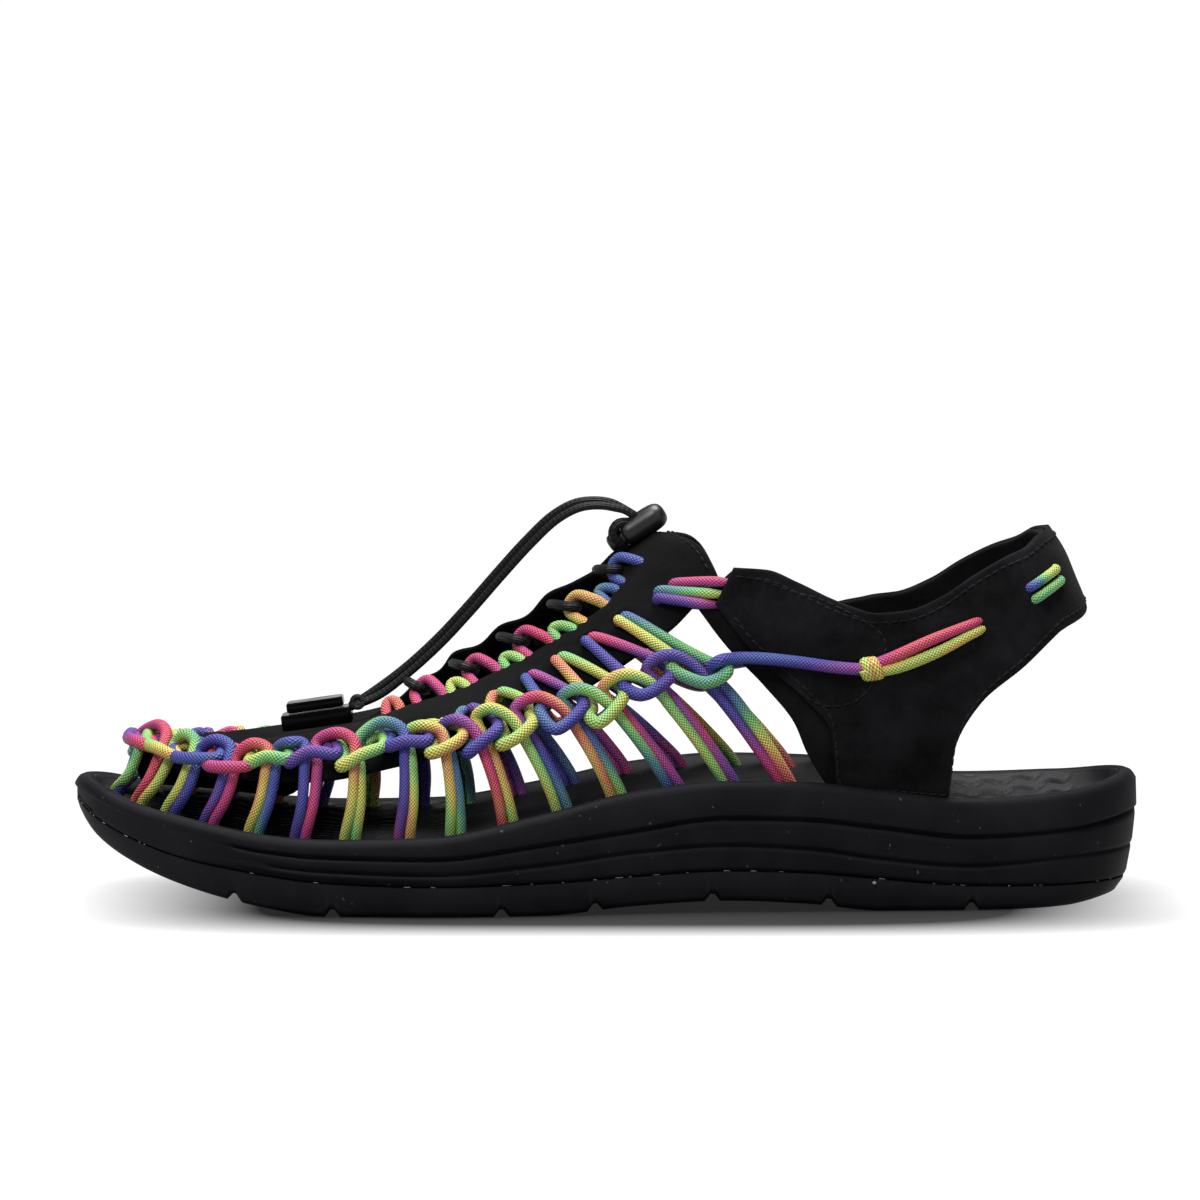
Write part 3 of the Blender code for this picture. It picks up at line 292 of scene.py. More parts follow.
# Elastic lace, lock and lace end
LACE_RADIUS = 1.3
STRAND_RADIUS = 1.08
LACE_SIDES, EYELET_SIDES = 12, 10
LOOP_APART = 1.5
STRAND_SHIFT = (-0.55, 0.0, 0.6)
EYELET_CENTRE, EYELET_RADIUS, EYELET_CORD, EYELET_FLATTEN = (-65.0, 1.6, 50.6), 1.35, 0.75, 0.4
RoutePoint = namedtuple("RoutePoint", "x y z")
LACE_ROUTE = [
    RoutePoint(8.4, 3.0, 99.4),
    RoutePoint(5.4, 3.0, 101.2),
    RoutePoint(2.4, 3.0, 102.4),
    RoutePoint(-1.6, 3.0, 103.0),
    RoutePoint(-7.0, 3.2, 102.4),
    RoutePoint(-13.0, 3.6, 99.2),
    RoutePoint(-20.0, 4.2, 92.6),
    RoutePoint(-27.6, 4.8, 84.2),
    RoutePoint(-35.6, 5.2, 75.0),
    RoutePoint(-43.6, 5.4, 66.4),
    RoutePoint(-52.2, 5.0, 58.6),
    RoutePoint(-60.0, 4.0, 52.8),
    RoutePoint(-67.0, 3.2, 49.2),
]
END_CENTRE = RoutePoint(-75.6, 2.4, 46.4)
END_LENGTH, END_WIDTH, END_BODY_HEIGHT, END_SLAB_HEIGHT = 18.6, 11.0, 4.2, 2.6
END_SLAB_LENGTH, END_SLAB_WIDTH = 15.0, 9.0
END_CORNER, END_SLAB_CORNER, END_SHARP = 1.2, 1.0, 35
END_TILT = math.radians(8.0)
LOCK_CENTRE = RoutePoint(10.4, 3.0, 97.6)
LOCK_TILT = math.radians(33.0)
LOCK_LENGTH, BUTTON_OUT = 12.6, 4.6

# Dye of the cord, in the order that the colours run into each other
DYES = table(
    "name red green blue",
    ("blue", 32, 36, 164),
    ("violet", 70, 34, 156),
    ("purple", 132, 40, 158),
    ("magenta", 190, 30, 134),
    ("pink", 224, 28, 98),
    ("red", 224, 74, 78),
    ("orange", 234, 146, 92),
    ("yellow", 234, 218, 80),
    ("lime", 178, 226, 106),
    ("green", 120, 208, 112),
    ("teal", 76, 148, 142),
    ("steel", 44, 84, 166),
)
ACROSS_SHIFT = 0.75
ACROSS_PITCH = 46.0

# Colours along each arch from its front foot to its back foot, from pair 0 of the toe backwards
ARCH_DYES = [
    "violet purple violet purple green lime lime",
    "blue violet violet purple magenta pink red red orange",
    "yellow yellow yellow lime green lime lime lime",
    "steel blue blue violet blue blue violet blue",
    "magenta pink pink pink red orange yellow lime",
    "teal steel steel teal steel blue violet blue violet",
    "purple magenta magenta pink pink red orange yellow lime",
    "green lime lime green green teal blue violet purple magenta",
    "yellow yellow lime lime orange yellow lime lime",
    "green green teal steel violet magenta pink pink red pink",
    "lime yellow yellow yellow lime yellow lime lime green",
    "teal steel blue violet purple red orange yellow orange yellow",
    "lime green teal steel teal green green green teal steel",
    "violet purple magenta red yellow lime lime lime green teal",
    "violet purple pink purple violet blue violet violet purple magenta pink",
]
# Colours along each hook from its front leg over its link to its back leg, from pair 1 of the toe backwards
HOOK_DYES = [
    "blue violet pink pink magenta",
    "lime lime lime yellow yellow",
    "violet blue blue blue steel",
    "magenta pink pink pink magenta",
    "lime lime lime green green",
    "blue blue violet violet purple",
    "yellow lime lime green green",
    "steel blue blue blue violet",
    "lime yellow yellow yellow lime",
    "teal steel blue blue purple",
    "orange yellow lime lime green",
    "steel steel blue violet magenta",
    "orange yellow lime lime green",
    "steel blue violet purple pink",
    "yellow lime green green teal steel",
]
MEDIAL_DYE_SHIFT = 5


def column(table, name):
    return np.array([getattr(row, name) for row in table], float)


def smooth_curve(at, values):
    """A curve through the rows that never overshoots them."""
    order = np.argsort(at)
    at, values = np.asarray(at, float)[order], np.asarray(values, float)[order]
    steps = np.diff(at)
    slopes = np.diff(values) / steps
    tangents = np.zeros(len(at))
    tangents[0], tangents[-1] = slopes[0], slopes[-1]
    before, after = slopes[:-1], slopes[1:]
    turning = before * after <= 0
    near, far = 2 * steps[1:] + steps[:-1], steps[1:] + 2 * steps[:-1]
    safe_before, safe_after = np.where(turning, 1.0, before), np.where(turning, 1.0, after)
    tangents[1:-1] = np.where(turning, 0.0, (near + far) / (near / safe_before + far / safe_after))

    def value_at(place):
        place = np.clip(np.asarray(place, float), at[0], at[-1])
        i = np.clip(np.searchsorted(at, place) - 1, 0, len(at) - 2)
        u = (place - at[i]) / steps[i]
        return (
            values[i] * (1 + 2 * u) * (1 - u) ** 2
            + tangents[i] * steps[i] * u * (1 - u) ** 2
            + values[i + 1] * u * u * (3 - 2 * u)
            + tangents[i + 1] * steps[i] * u * u * (u - 1)
        )

    return value_at


def table_curves(table, key):
    return {
        name: smooth_curve(column(table, key), column(table, name))
        for name in table[0]._fields if name != key
    }


def ease(low, high, value):
    u = np.clip((np.asarray(value, float) - low) / (high - low), 0.0, 1.0)
    return u * u * (3 - 2 * u)


def unit(vectors):
    vectors = np.asarray(vectors, float)
    return vectors / np.maximum(np.linalg.norm(vectors, axis=-1, keepdims=True), 1e-9)


def lengths_along(path):
    """The length passed at each point of a path."""
    steps = np.linalg.norm(np.diff(path, axis=0), axis=1)
    return np.concatenate([[0.0], np.cumsum(steps)])


OUTLINE_ANGLES = np.arccos(column(OUTLINE, "x") / HALF_LENGTH)
centre_at = smooth_curve(OUTLINE_ANGLES, column(OUTLINE, "centre"))
half_width_at = smooth_curve(OUTLINE_ANGLES, column(OUTLINE, "half_width"))
sole_line = table_curves(SOLE_LINES, "x")


def edge_plan(turn):
    """Plan points on the sole's edge: turn 0 is the heel, pi the toe, and the lateral side lies between."""
    turn = np.mod(turn, FULL_TURN)
    angle = np.where(turn <= math.pi, turn, FULL_TURN - turn)
    side = np.where(turn <= math.pi, LATERAL, MEDIAL)
    return np.stack([HALF_LENGTH * np.cos(angle), centre_at(angle) + side * half_width_at(angle)], -1)


def edge_outward(turn):
    step = 0.004
    along = unit(edge_plan(turn + step) - edge_plan(turn - step))
    return np.stack([-along[..., 1], along[..., 0]], -1)


def footbed_height(x, across):
    return sole_line["rim"](x) - RIM_STEP - sole_line["dish"](x) * (1 - across * across)


def across_at(x, y):
    angle = np.arccos(np.clip(x / HALF_LENGTH, -1.0, 1.0))
    return (y - centre_at(angle)) / np.maximum(half_width_at(angle), 1.0)


# The last: control points of ribs at close steps, and a place between them is read off by blending
RIB_STEP = 0.05
RIB_RANGE = 20.0
EDGE_SAMPLES = 800


def make_ribs():
    numbers = np.arange(-RIB_RANGE, RIB_RANGE + RIB_STEP / 2, RIB_STEP)
    turns = np.zeros(len(numbers))
    for side in (LATERAL, MEDIAL):
        sweep = math.pi + side * np.linspace(0.0, math.pi, EDGE_SAMPLES)
        points = edge_plan(sweep)
        passed = lengths_along(points)
        spacing = np.interp(LAST_PAIR_X, points[:, 0], passed) / PAIRS
        mine = numbers >= 0 if side == LATERAL else numbers < 0
        turns[mine] = np.interp(np.abs(numbers[mine]) * spacing, passed, sweep)
    outward = edge_outward(turns)
    plan = edge_plan(turns) - outward * FOOT_INSET
    height = footbed_height(plan[:, 0], across_at(plan[:, 0], plan[:, 1])) + FOOT_RISE
    foot = np.column_stack([plan, height])
    rib = table_curves(RIBS, "pair")
    crest = np.column_stack([rib[name](np.abs(numbers)) for name in ("crest_x", "crest_y", "crest_z")])
    out = np.column_stack([outward, np.zeros(len(numbers))])
    shoulder = foot + out * RIB_BULGE
    shoulder[:, 0] += RIB_LEAN * (crest[:, 0] - foot[:, 0]) * np.abs(outward[:, 1])
    shoulder[:, 2] = crest[:, 2]
    knee = crest + out * rib["reach"](np.abs(numbers))[:, None]
    return np.stack([foot, shoulder, knee, crest], 1)


RIB_CONTROLS = make_ribs()


def last_point(pair, up):
    """Points of the last; pairs count back from the toe, and the medial ones are below zero."""
    pair, up = np.broadcast_arrays(np.asarray(pair, float), np.asarray(up, float))
    at = np.clip((pair + RIB_RANGE) / RIB_STEP, 0, len(RIB_CONTROLS) - 1.001)
    i = at.astype(int)
    share = (at - i)[..., None, None]
    controls = RIB_CONTROLS[i] * (1 - share) + RIB_CONTROLS[i + 1] * share
    u = up[..., None]
    v = 1 - u
    return (
        controls[..., 0, :] * v**3 + controls[..., 1, :] * 3 * v * v * u
        + controls[..., 2, :] * 3 * v * u * u + controls[..., 3, :] * u**3
    )


def last_outward(pair, up):
    step, rise_step = 0.06, 0.02
    along = last_point(pair + step, up) - last_point(pair - step, up)
    rise = last_point(pair, up + rise_step) - last_point(pair, up - rise_step)
    return unit(np.cross(along, rise))


def on_last(pair, up, lift):
    return last_point(pair, up) + last_outward(pair, up) * np.asarray(lift, float)[..., None]


def last_grid(pairs, ups):
    return np.meshgrid(np.linspace(*pairs), np.linspace(*ups), indexing="ij")


# Where a place on a side is looked for: start, end and number of pairs, then of shares up the rib
SIDE_PAIRS, SIDE_UPS = last_grid((0.0, 19.0, 381), (0.0, 0.98, 99))
SIDE_POINTS = {side: last_point(-side * SIDE_PAIRS, SIDE_UPS) for side in (LATERAL, MEDIAL)}
SIDE_OUTWARD = {side: last_outward(-side * SIDE_PAIRS, SIDE_UPS) for side in (LATERAL, MEDIAL)}


def side_point(x, z, lift, side):
    """The point at this x and z that stands off the last by the lift, on the side given."""
    lifted = SIDE_POINTS[side] + SIDE_OUTWARD[side] * lift
    best = np.argmin((lifted[..., 0] - x) ** 2 + (lifted[..., 2] - z) ** 2)
    return np.array([x, lifted.reshape(-1, 3)[best, 1], z])


FOOT_STEPS = table("up lift", (-0.04, -0.4), (0.0, 0.0))


def foot_points(pair, along, side):
    """Lowest places of a strand: just inside the footbed and where the last begins."""
    spacing = np.linalg.norm(last_point(pair + 0.5, 0.0) - last_point(pair - 0.5, 0.0))
    number = -side * (pair + along / spacing)
    return [on_last(number, step.up, step.lift) for step in FOOT_STEPS]


LEG_SHARES = (0.35, 0.72)
LEG_BOW = 1.2


def leg_points(foot, end, lifts, side):
    """Places up a leg between its foot and its end on the chain."""
    route = []
    for share, lift in zip(LEG_SHARES, lifts):
        x, _, z = foot * (1 - share) + end * share
        route.append(side_point(x + LEG_BOW * math.sin(math.pi * share), z, lift, side))
    return route


FRONT_LEG_LIFTS, BACK_LEG_LIFTS = (1.4, 2.3), (0.7, 1.4)
ARCH_LIFTS = (2.6, 5.0, 3.8)
LINK_LIFTS = (3.8, 5.4, 4.2)
BEHIND_LIFT = 1.2
BEHIND_DROP, BEHIND_FROM, BEHIND_TO = 2.4, 7.5, 10.0
CHAIN_DROPS = table("pair drop", (0, 5.6), (6, 6.4), (10, 5.4), (15, 7.0))


def lowered(row, side):
    """The row of a link or an arch, lowered on the medial side."""
    if side == LATERAL:
        return row
    drop = np.interp(row.pair, column(CHAIN_DROPS, "pair"), column(CHAIN_DROPS, "drop"))
    heights = {name: value - drop for name, value in row._asdict().items() if name.endswith("_z")}
    return row._replace(**heights)


def arch_places(pair, side):
    row = lowered(ARCHES[pair], side)
    left = side_point(row.left_x, row.left_z, ARCH_LIFTS[0], side)
    top = side_point(row.top_x, row.top_z, ARCH_LIFTS[1], side)
    right = side_point(row.right_x, row.right_z, ARCH_LIFTS[2], side)
    return left, top, right


def arch_route(pair, side):
    """An arch from the back strand of its pair, over, and down to the front strand of the next pair."""
    start, end = foot_points(pair, STRAND_APART, side), foot_points(pair + 1, -STRAND_APART, side)
    left, top, right = arch_places(pair, side)
    up = leg_points(start[-1], left, BACK_LEG_LIFTS, side)
    down = leg_points(end[-1], right, FRONT_LEG_LIFTS, side)
    return np.array(start + up + [left, top, right] + down[::-1] + end[::-1])


hole_row = table_curves(HOLES, "pair")


def hole_point(pair, along, lift, side):
    """Place at a pair's hole in the panel, moved along the panel and lifted off it."""
    number, up = pair + hole_row["shift"](pair), hole_row["up"](pair)
    spacing = np.linalg.norm(last_point(number + 0.5, up) - last_point(number - 0.5, up))
    return on_last(-side * (number + along / spacing), up, lift)


TURN_IN, TURN_UP, TURN_LIFT, TURN_UP_FULL = 0.8, 2.0, 1.3, 2.5
HOLE_STEPS = table("along lift", (-0.6, -2.4), (-1.0, 1.1), (1.0, 1.1), (0.6, -2.4))


def hook_route(pair, side):
    """A hook from its hole down inside one arch, across its pair as a link, and up inside the next arch."""
    row = lowered(LINKS[pair - 1], side)
    front, back = lowered(ARCHES[pair - 1], side), lowered(ARCHES[pair], side)
    left = side_point(row.left_x, row.left_z, LINK_LIFTS[0], side)
    low = side_point(row.low_x, row.low_z, LINK_LIFTS[1], side)
    right = side_point(row.right_x, row.right_z, LINK_LIFTS[2], side)
    turn_up = TURN_UP * ease(0.0, TURN_UP_FULL, pair)
    left_turn = side_point(row.left_x + TURN_IN, row.left_z + turn_up, TURN_LIFT, side)
    right_turn = side_point(row.right_x - TURN_IN, row.right_z + turn_up, TURN_LIFT, side)
    drop = BEHIND_DROP * (1 - ease(BEHIND_FROM, BEHIND_TO, pair))
    behind_front = side_point(front.top_x, front.top_z - drop, BEHIND_LIFT, side)
    middle_x, middle_z = (back.left_x + back.top_x) / 2, (back.left_z + back.top_z) / 2
    behind_back = side_point(middle_x, middle_z - drop, BEHIND_LIFT, side)
    holes = [hole_point(pair, step.along, step.lift, side) for step in HOLE_STEPS]
    link = [behind_front, left_turn, left, low, right, right_turn, behind_back]
    return np.array([*holes[:2], *link, *holes[2:]])


TOE_TOP = (0.0, 0.39, 0.0)


def toe_route():
    """The foremost arch, from the first medial pair over the toe to the first lateral pair."""
    half = {}
    for side in (LATERAL, MEDIAL):
        foot = foot_points(1, -STRAND_APART, side)
        _, _, end = arch_places(0, side)
        half[side] = foot + leg_points(foot[-1], end, FRONT_LEG_LIFTS, side) + [end]
    return np.array(half[MEDIAL] + [on_last(*TOE_TOP)] + half[LATERAL][::-1])


SPLINE_STEPS = 14


def smooth_route(points, every):
    """Even points along a smooth curve through a route."""
    points = np.asarray(points, float)
    padded = np.vstack([2 * points[0] - points[1], points, 2 * points[-1] - points[-2]])
    gaps = np.sqrt(np.maximum(np.linalg.norm(np.diff(padded, axis=0), axis=1), 1e-4))
    u = np.linspace(0.0, 1.0, SPLINE_STEPS, endpoint=False)[:, None]
    fine = []
    for i in range(1, len(padded) - 2):
        a, b, c, d = padded[i - 1:i + 3]
        before, span, after = gaps[i - 1:i + 2]
        leave = ((b - a) / before - (c - a) / (before + span)) * span + (c - b)
        arrive = ((d - c) / after - (d - b) / (span + after)) * span + (c - b)
        fine.append(b * (1 + 2 * u) * (1 - u) ** 2 + leave * u * (1 - u) ** 2
                    + c * u * u * (3 - 2 * u) + arrive * u * u * (u - 1))
    fine = np.vstack(fine + [points[-1:]])
    passed = lengths_along(fine)
    count = max(int(round(passed[-1] / every)), 3) + 1
    stops = np.linspace(0.0, passed[-1], count)
    return np.column_stack([np.interp(stops, passed, fine[:, k]) for k in range(3)]), stops


class Form:
    """Points, faces, colours and map places of one mesh, gathered piece by piece."""

    def __init__(self):
        self.points, self.quads, self.fans = [], [], []
        self.colours, self.maps, self.fan_maps = [], [], []
        self.count = 0

    def add(self, points):
        points = np.asarray(points, float).reshape(-1, 3)
        first = self.count
        self.points.append(points)
        self.count += len(points)
        return first

    def grid(self, points, wrap_rows=False, wrap_columns=False):
        """Add a grid of points, rows by columns, and return the place of its first point."""
        rows, columns = points.shape[:2]
        first = self.add(points)
        index = first + np.arange(rows * columns).reshape(rows, columns)
        if wrap_rows:
            index = np.vstack([index, index[:1]])
        if wrap_columns:
            index = np.hstack([index, index[:, :1]])
        quads = np.stack([index[:-1, :-1], index[:-1, 1:], index[1:, 1:], index[1:, :-1]], -1)
        self.quads.append(quads.reshape(-1, 4))
        return first

    def fan(self, ring, centre):
        middle = self.add([centre])
        ring = list(ring)
        self.fans.append(np.array([(a, b, middle) for a, b in zip(ring, ring[1:] + ring[:1])]))

    def open_fan(self, row, tip):
        middle = self.add([tip])
        self.fans.append(np.array([(a, b, middle) for a, b in zip(row, row[1:])]))


STEEP = 0.9


def tube(form, route, radius, sides, dye=None, every=CORD_RING_EVERY, phase=0.0):
    """Add a closed tube along a route, of one radius or a few radii spread evenly along it.

    Its map runs round it in turns and along it in millimetres.
    """
    path, stops = smooth_route(route, every)
    along = unit(np.gradient(path, axis=0))
    across = np.cross(along[0], [0.0, 0.0, 1.0] if abs(along[0][2]) < STEEP else [1.0, 0.0, 0.0])
    frames = []
    for direction in along:
        across = unit(across - direction * np.dot(across, direction))
        frames.append(across)
    across = np.array(frames)
    other = np.cross(along, across)
    angles = np.linspace(0.0, FULL_TURN, sides, endpoint=False)
    radius = np.atleast_1d(radius)
    radii = np.interp(np.linspace(0, 1, len(path)), np.linspace(0, 1, len(radius)), radius)
    rings = (path[:, None] + radii[:, None, None] * (
        np.cos(angles)[None, :, None] * across[:, None] + np.sin(angles)[None, :, None] * other[:, None]))
    first = form.grid(rings, wrap_columns=True)
    shares = np.arange(sides + 1) / sides
    around = np.broadcast_to(shares, (len(path), sides + 1))
    length = np.broadcast_to(stops[:, None], (len(path), sides + 1))
    places = np.stack([around, length], -1)
    form.maps.append(np.stack(
        [places[:-1, :-1], places[:-1, 1:], places[1:, 1:], places[1:, :-1]], 2).reshape(-1, 2))
    for ring, end in ((0, path[0]), (len(path) - 1, path[-1])):
        form.fan(first + ring * sides + np.arange(sides), end)
        form.fan_maps.append(np.tile([0.5, stops[ring]], (3 * sides, 1)))
    if dye is not None:
        share = stops / stops[-1]
        level = np.interp(share, np.linspace(0, 1, len(dye)), dye)
        swing = ACROSS_SHIFT * np.sin(angles[None, :] + phase + stops[:, None] * FULL_TURN / ACROSS_PITCH)
        form.colours.append(dye_colour(level[:, None] + swing).reshape(-1, 3))
        form.colours.append(dye_colour(level[[0, -1]]))
    return path


DYE_PLACE = {dye.name: i for i, dye in enumerate(DYES)}


def to_linear(value):
    value = np.asarray(value, float) / 255
    return np.where(value <= 0.04045, value / 12.92, ((value + 0.055) / 1.055) ** 2.4)


DYE_STRENGTH = 0.72
DYE_TABLE = to_linear(np.array([dye[1:] for dye in DYES])) * DYE_STRENGTH


def dye_colour(place):
    place = np.mod(place, len(DYES))
    i = np.floor(place).astype(int)
    share = (place - i)[..., None]
    return DYE_TABLE[i % len(DYES)] * (1 - share) + DYE_TABLE[(i + 1) % len(DYES)] * share


def dye_run(names):
    """Places of named dyes, each reached the short way round the colours."""
    first, *others = names.split()
    run = [float(DYE_PLACE[first])]
    half = len(DYES) / 2
    for name in others:
        change = (DYE_PLACE[name] - run[-1] + half) % len(DYES) - half
        run.append(run[-1] + change)
    return run


def make_piece(name, form, material, replaces=(), body=BODY, weld=0.0, sharp=None):
    mesh = bpy.data.meshes.new(name)
    points = np.vstack(form.points) * MM
    quads = np.vstack(form.quads).tolist() if form.quads else []
    fans = np.vstack(form.fans).tolist() if form.fans else []
    mesh.from_pydata(points.tolist(), [], quads + fans)
    if form.maps:
        layer = mesh.uv_layers.new(name="along")
        layer.data.foreach_set("uv", np.vstack(form.maps + form.fan_maps).astype(np.float32).ravel())
    if form.colours:
        colours = np.vstack(form.colours)
        colours = np.column_stack([colours, np.ones(len(colours))])
        store = mesh.color_attributes.new("dye", "FLOAT_COLOR", "POINT")
        store.data.foreach_set("color", colours.astype(np.float32).ravel())
    work = bmesh.new()
    work.from_mesh(mesh)
    if weld:
        bmesh.ops.remove_doubles(work, verts=work.verts, dist=weld * MM)
    bmesh.ops.recalc_face_normals(work, faces=work.faces)
    work.to_mesh(mesh)
    work.free()
    mesh.materials.append(material)
    mesh.shade_smooth()
    if sharp:
        mesh.set_sharp_from_angle(angle=math.radians(sharp))
    piece = bpy.data.objects.new(name, mesh)
    bpy.context.scene.collection.objects.link(piece)
    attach(piece, body)
    if replaces:
        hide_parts(*replaces)
    return piece


# Materials
class Nodes:
    """Short calls for the nodes of one material."""

    def __init__(self, name):
        self.material = bpy.data.materials.new(name)
        self.material.use_nodes = True
        self.tree = self.material.node_tree
        self.shader = self.tree.nodes["Principled BSDF"]

    def node(self, kind, inputs=None, **settings):
        node = self.tree.nodes.new(kind)
        for key, value in settings.items():
            setattr(node, key, value)
        for key, value in (inputs or {}).items():
            self.put(node.inputs[key], value)
        return node

    def put(self, socket, value):
        if isinstance(value, bpy.types.NodeSocket):
            self.tree.links.new(value, socket)
        else:
            socket.default_value = value

    def maths(self, operation, a, b=0.0):
        return self.node("ShaderNodeMath", {0: a, 1: b}, operation=operation).outputs[0]

    def noise(self, scale, detail=2.0, roughness=0.5, vector=None):
        vector = vector or self.place()
        inputs = {"Vector": vector, "Scale": scale, "Detail": detail, "Roughness": roughness}
        return self.node("ShaderNodeTexNoise", inputs).outputs["Fac"]

    def place(self):
        return self.node("ShaderNodeTexCoord").outputs["Object"]

    def ramp(self, value, low, high, to_low=0.0, to_high=1.0):
        inputs = {"Value": value, "From Min": low, "From Max": high, "To Min": to_low, "To Max": to_high}
        return self.node("ShaderNodeMapRange", inputs).outputs[0]

    def mix(self, share, a, b, blend="MIX"):
        node = self.node("ShaderNodeMix", data_type="RGBA", blend_type=blend)
        for name, value in (("Factor", share), ("A", a), ("B", b)):
            kind = "VALUE" if name == "Factor" else "RGBA"
            socket = next(s for s in node.inputs if s.name == name and s.type == kind)
            self.put(socket, value)
        return next(s for s in node.outputs if s.type == "RGBA")

    def bump(self, height, strength, distance, normal=None):
        inputs = {"Height": height, "Strength": strength, "Distance": distance}
        if normal:
            inputs["Normal"] = normal
        return self.node("ShaderNodeBump", inputs).outputs["Normal"]

    def finish(self, **values):
        for name, value in values.items():
            self.put(self.shader.inputs[name.replace("_", " ")], value)
        return self.material


YARNS_ROUND, YARN_PITCH = 10.0, 0.95
# Braid colour: a painted shade for the grooves between the yarns and a painted highlight for the yarn tops
BRAID_GROOVE_SHADE, BRAID_TOP_HIGHLIGHT, BRAID_HIGHLIGHT_SHARE = (0.22, 0.20, 0.26, 1.0), (0.92, 0.92, 0.94, 1.0), 0.05


def cord_material():
    """Braided cord: dyed colour from the mesh, with staggered rows of small raised yarns, a painted shade
    darkening the grooves between them and a painted highlight paling their tops.
    """
    nodes = Nodes("braided_cord")
    places = nodes.node("ShaderNodeUVMap", uv_map="along").outputs["UV"]
    split = nodes.node("ShaderNodeSeparateXYZ", {"Vector": places})
    around = nodes.maths("COSINE", nodes.maths("MULTIPLY", split.outputs["X"], YARNS_ROUND * FULL_TURN))
    along = nodes.maths("COSINE", nodes.maths("MULTIPLY", split.outputs["Y"], FULL_TURN / YARN_PITCH))
    yarn = nodes.maths("MULTIPLY", around, along)
    dye = nodes.node("ShaderNodeAttribute", attribute_name="dye").outputs["Color"]
    # Painted shade in the grooves between yarns, painted highlight on the yarn tops
    groove_shade = nodes.mix(1.0, dye, BRAID_GROOVE_SHADE, "MULTIPLY")
    pale = nodes.mix(BRAID_HIGHLIGHT_SHARE, dye, BRAID_TOP_HIGHLIGHT)
    colour = nodes.mix(nodes.ramp(yarn, -0.7, 0.75), groove_shade, pale)
    normal = nodes.bump(yarn, 0.6, 0.00025)
    return nodes.finish(Base_Color=colour, Normal=normal, Roughness=0.5, Specular_IOR_Level=0.28)


SUEDES = table(
    "name red green blue",
    ("black_suede", 0.0040, 0.0040, 0.0046),
    # The panel's suede is the black suede made darker: a painted shade on the vamp panel, which the top
    # lamp lights more than the strap
    ("panel_suede", 0.0020, 0.0020, 0.0023),
    ("black_lining", 0.0030, 0.0030, 0.0034),
    ("black_thread", 0.0090, 0.0090, 0.0098),
)
SUEDE_DARK, SUEDE_LIGHT, SUEDE_PALE = 0.4, 1.9, 4.0
CLOUD_SCALE, PILE_SCALE = 70.0, 2600.0


def shade_of(row, times=1.0):
    """A row's colour, made lighter or darker, with full cover."""
    return (times * row.red, times * row.green, times * row.blue, 1.0)


def suede_material(suede):
    """Napped suede: soft cloudy shade with a fine pile."""
    nodes = Nodes(suede.name)
    cloud = nodes.noise(CLOUD_SCALE, 5.0, 0.65)
    pile = nodes.noise(PILE_SCALE, 2.0, 0.7)
    dark, light = shade_of(suede, SUEDE_DARK), shade_of(suede, SUEDE_LIGHT)
    colour = nodes.mix(nodes.ramp(cloud, 0.32, 0.72), dark, light)
    colour = nodes.mix(nodes.ramp(pile, 0.6, 0.85, 0.0, 0.5), colour, shade_of(suede, SUEDE_PALE))
    normal = nodes.bump(pile, 0.4, 0.0003)
    normal = nodes.bump(cloud, 0.35, 0.0012, normal)
    return nodes.finish(Base_Color=colour, Normal=normal, Roughness=0.95, Sheen_Weight=0.015,
                        Sheen_Roughness=0.5, Specular_IOR_Level=0.04)


FOAMS = table(
    "name red green blue roughness grain_scale grain gloss",
    ("outsole_rubber", 0.0048, 0.0049, 0.0060, 0.55, 900.0, 0.12, 0.06),
    ("midsole_foam", 0.0046, 0.0047, 0.0058, 0.55, 1300.0, 0.16, 0.045),
    ("footbed_foam", 0.0056, 0.0056, 0.0064, 0.55, 1500.0, 0.2, 0.12),
    ("pale_flash", 0.16, 0.16, 0.17, 0.6, 900.0, 0.1, 0.2),
)
WORN_SCALE, WORN_LIGHT = 60.0, 1.9
SPECK_SCALE, SPECK_COLOUR = 700.0, (0.12, 0.12, 0.12, 1.0)


def foam_material(foam):
    """Moulded foam or rubber with a fine grain and a few worn patches."""
    nodes = Nodes(foam.name)
    grain = nodes.noise(foam.grain_scale, 3.0, 0.6)
    worn = nodes.noise(WORN_SCALE, 4.0, 0.6)
    colour = nodes.mix(nodes.ramp(worn, 0.4, 0.8), shade_of(foam), shade_of(foam, WORN_LIGHT))
    speck = nodes.ramp(nodes.noise(SPECK_SCALE, 1.0), 0.76, 0.8, 0.0, 0.35)
    colour = nodes.mix(speck, colour, SPECK_COLOUR)
    rough = nodes.ramp(worn, 0.3, 0.7, foam.roughness - 0.06, foam.roughness + 0.08)
    normal = nodes.bump(grain, foam.grain, 0.0003)
    return nodes.finish(Base_Color=colour, Normal=normal, Roughness=rough, Specular_IOR_Level=foam.gloss)


ELASTIC_DARK, ELASTIC_LIGHT = (0.0015, 0.0015, 0.0018, 1.0), (0.008, 0.008, 0.009, 1.0)
ELASTIC_RIBS, ELASTIC_CROSS = 12, 5.0


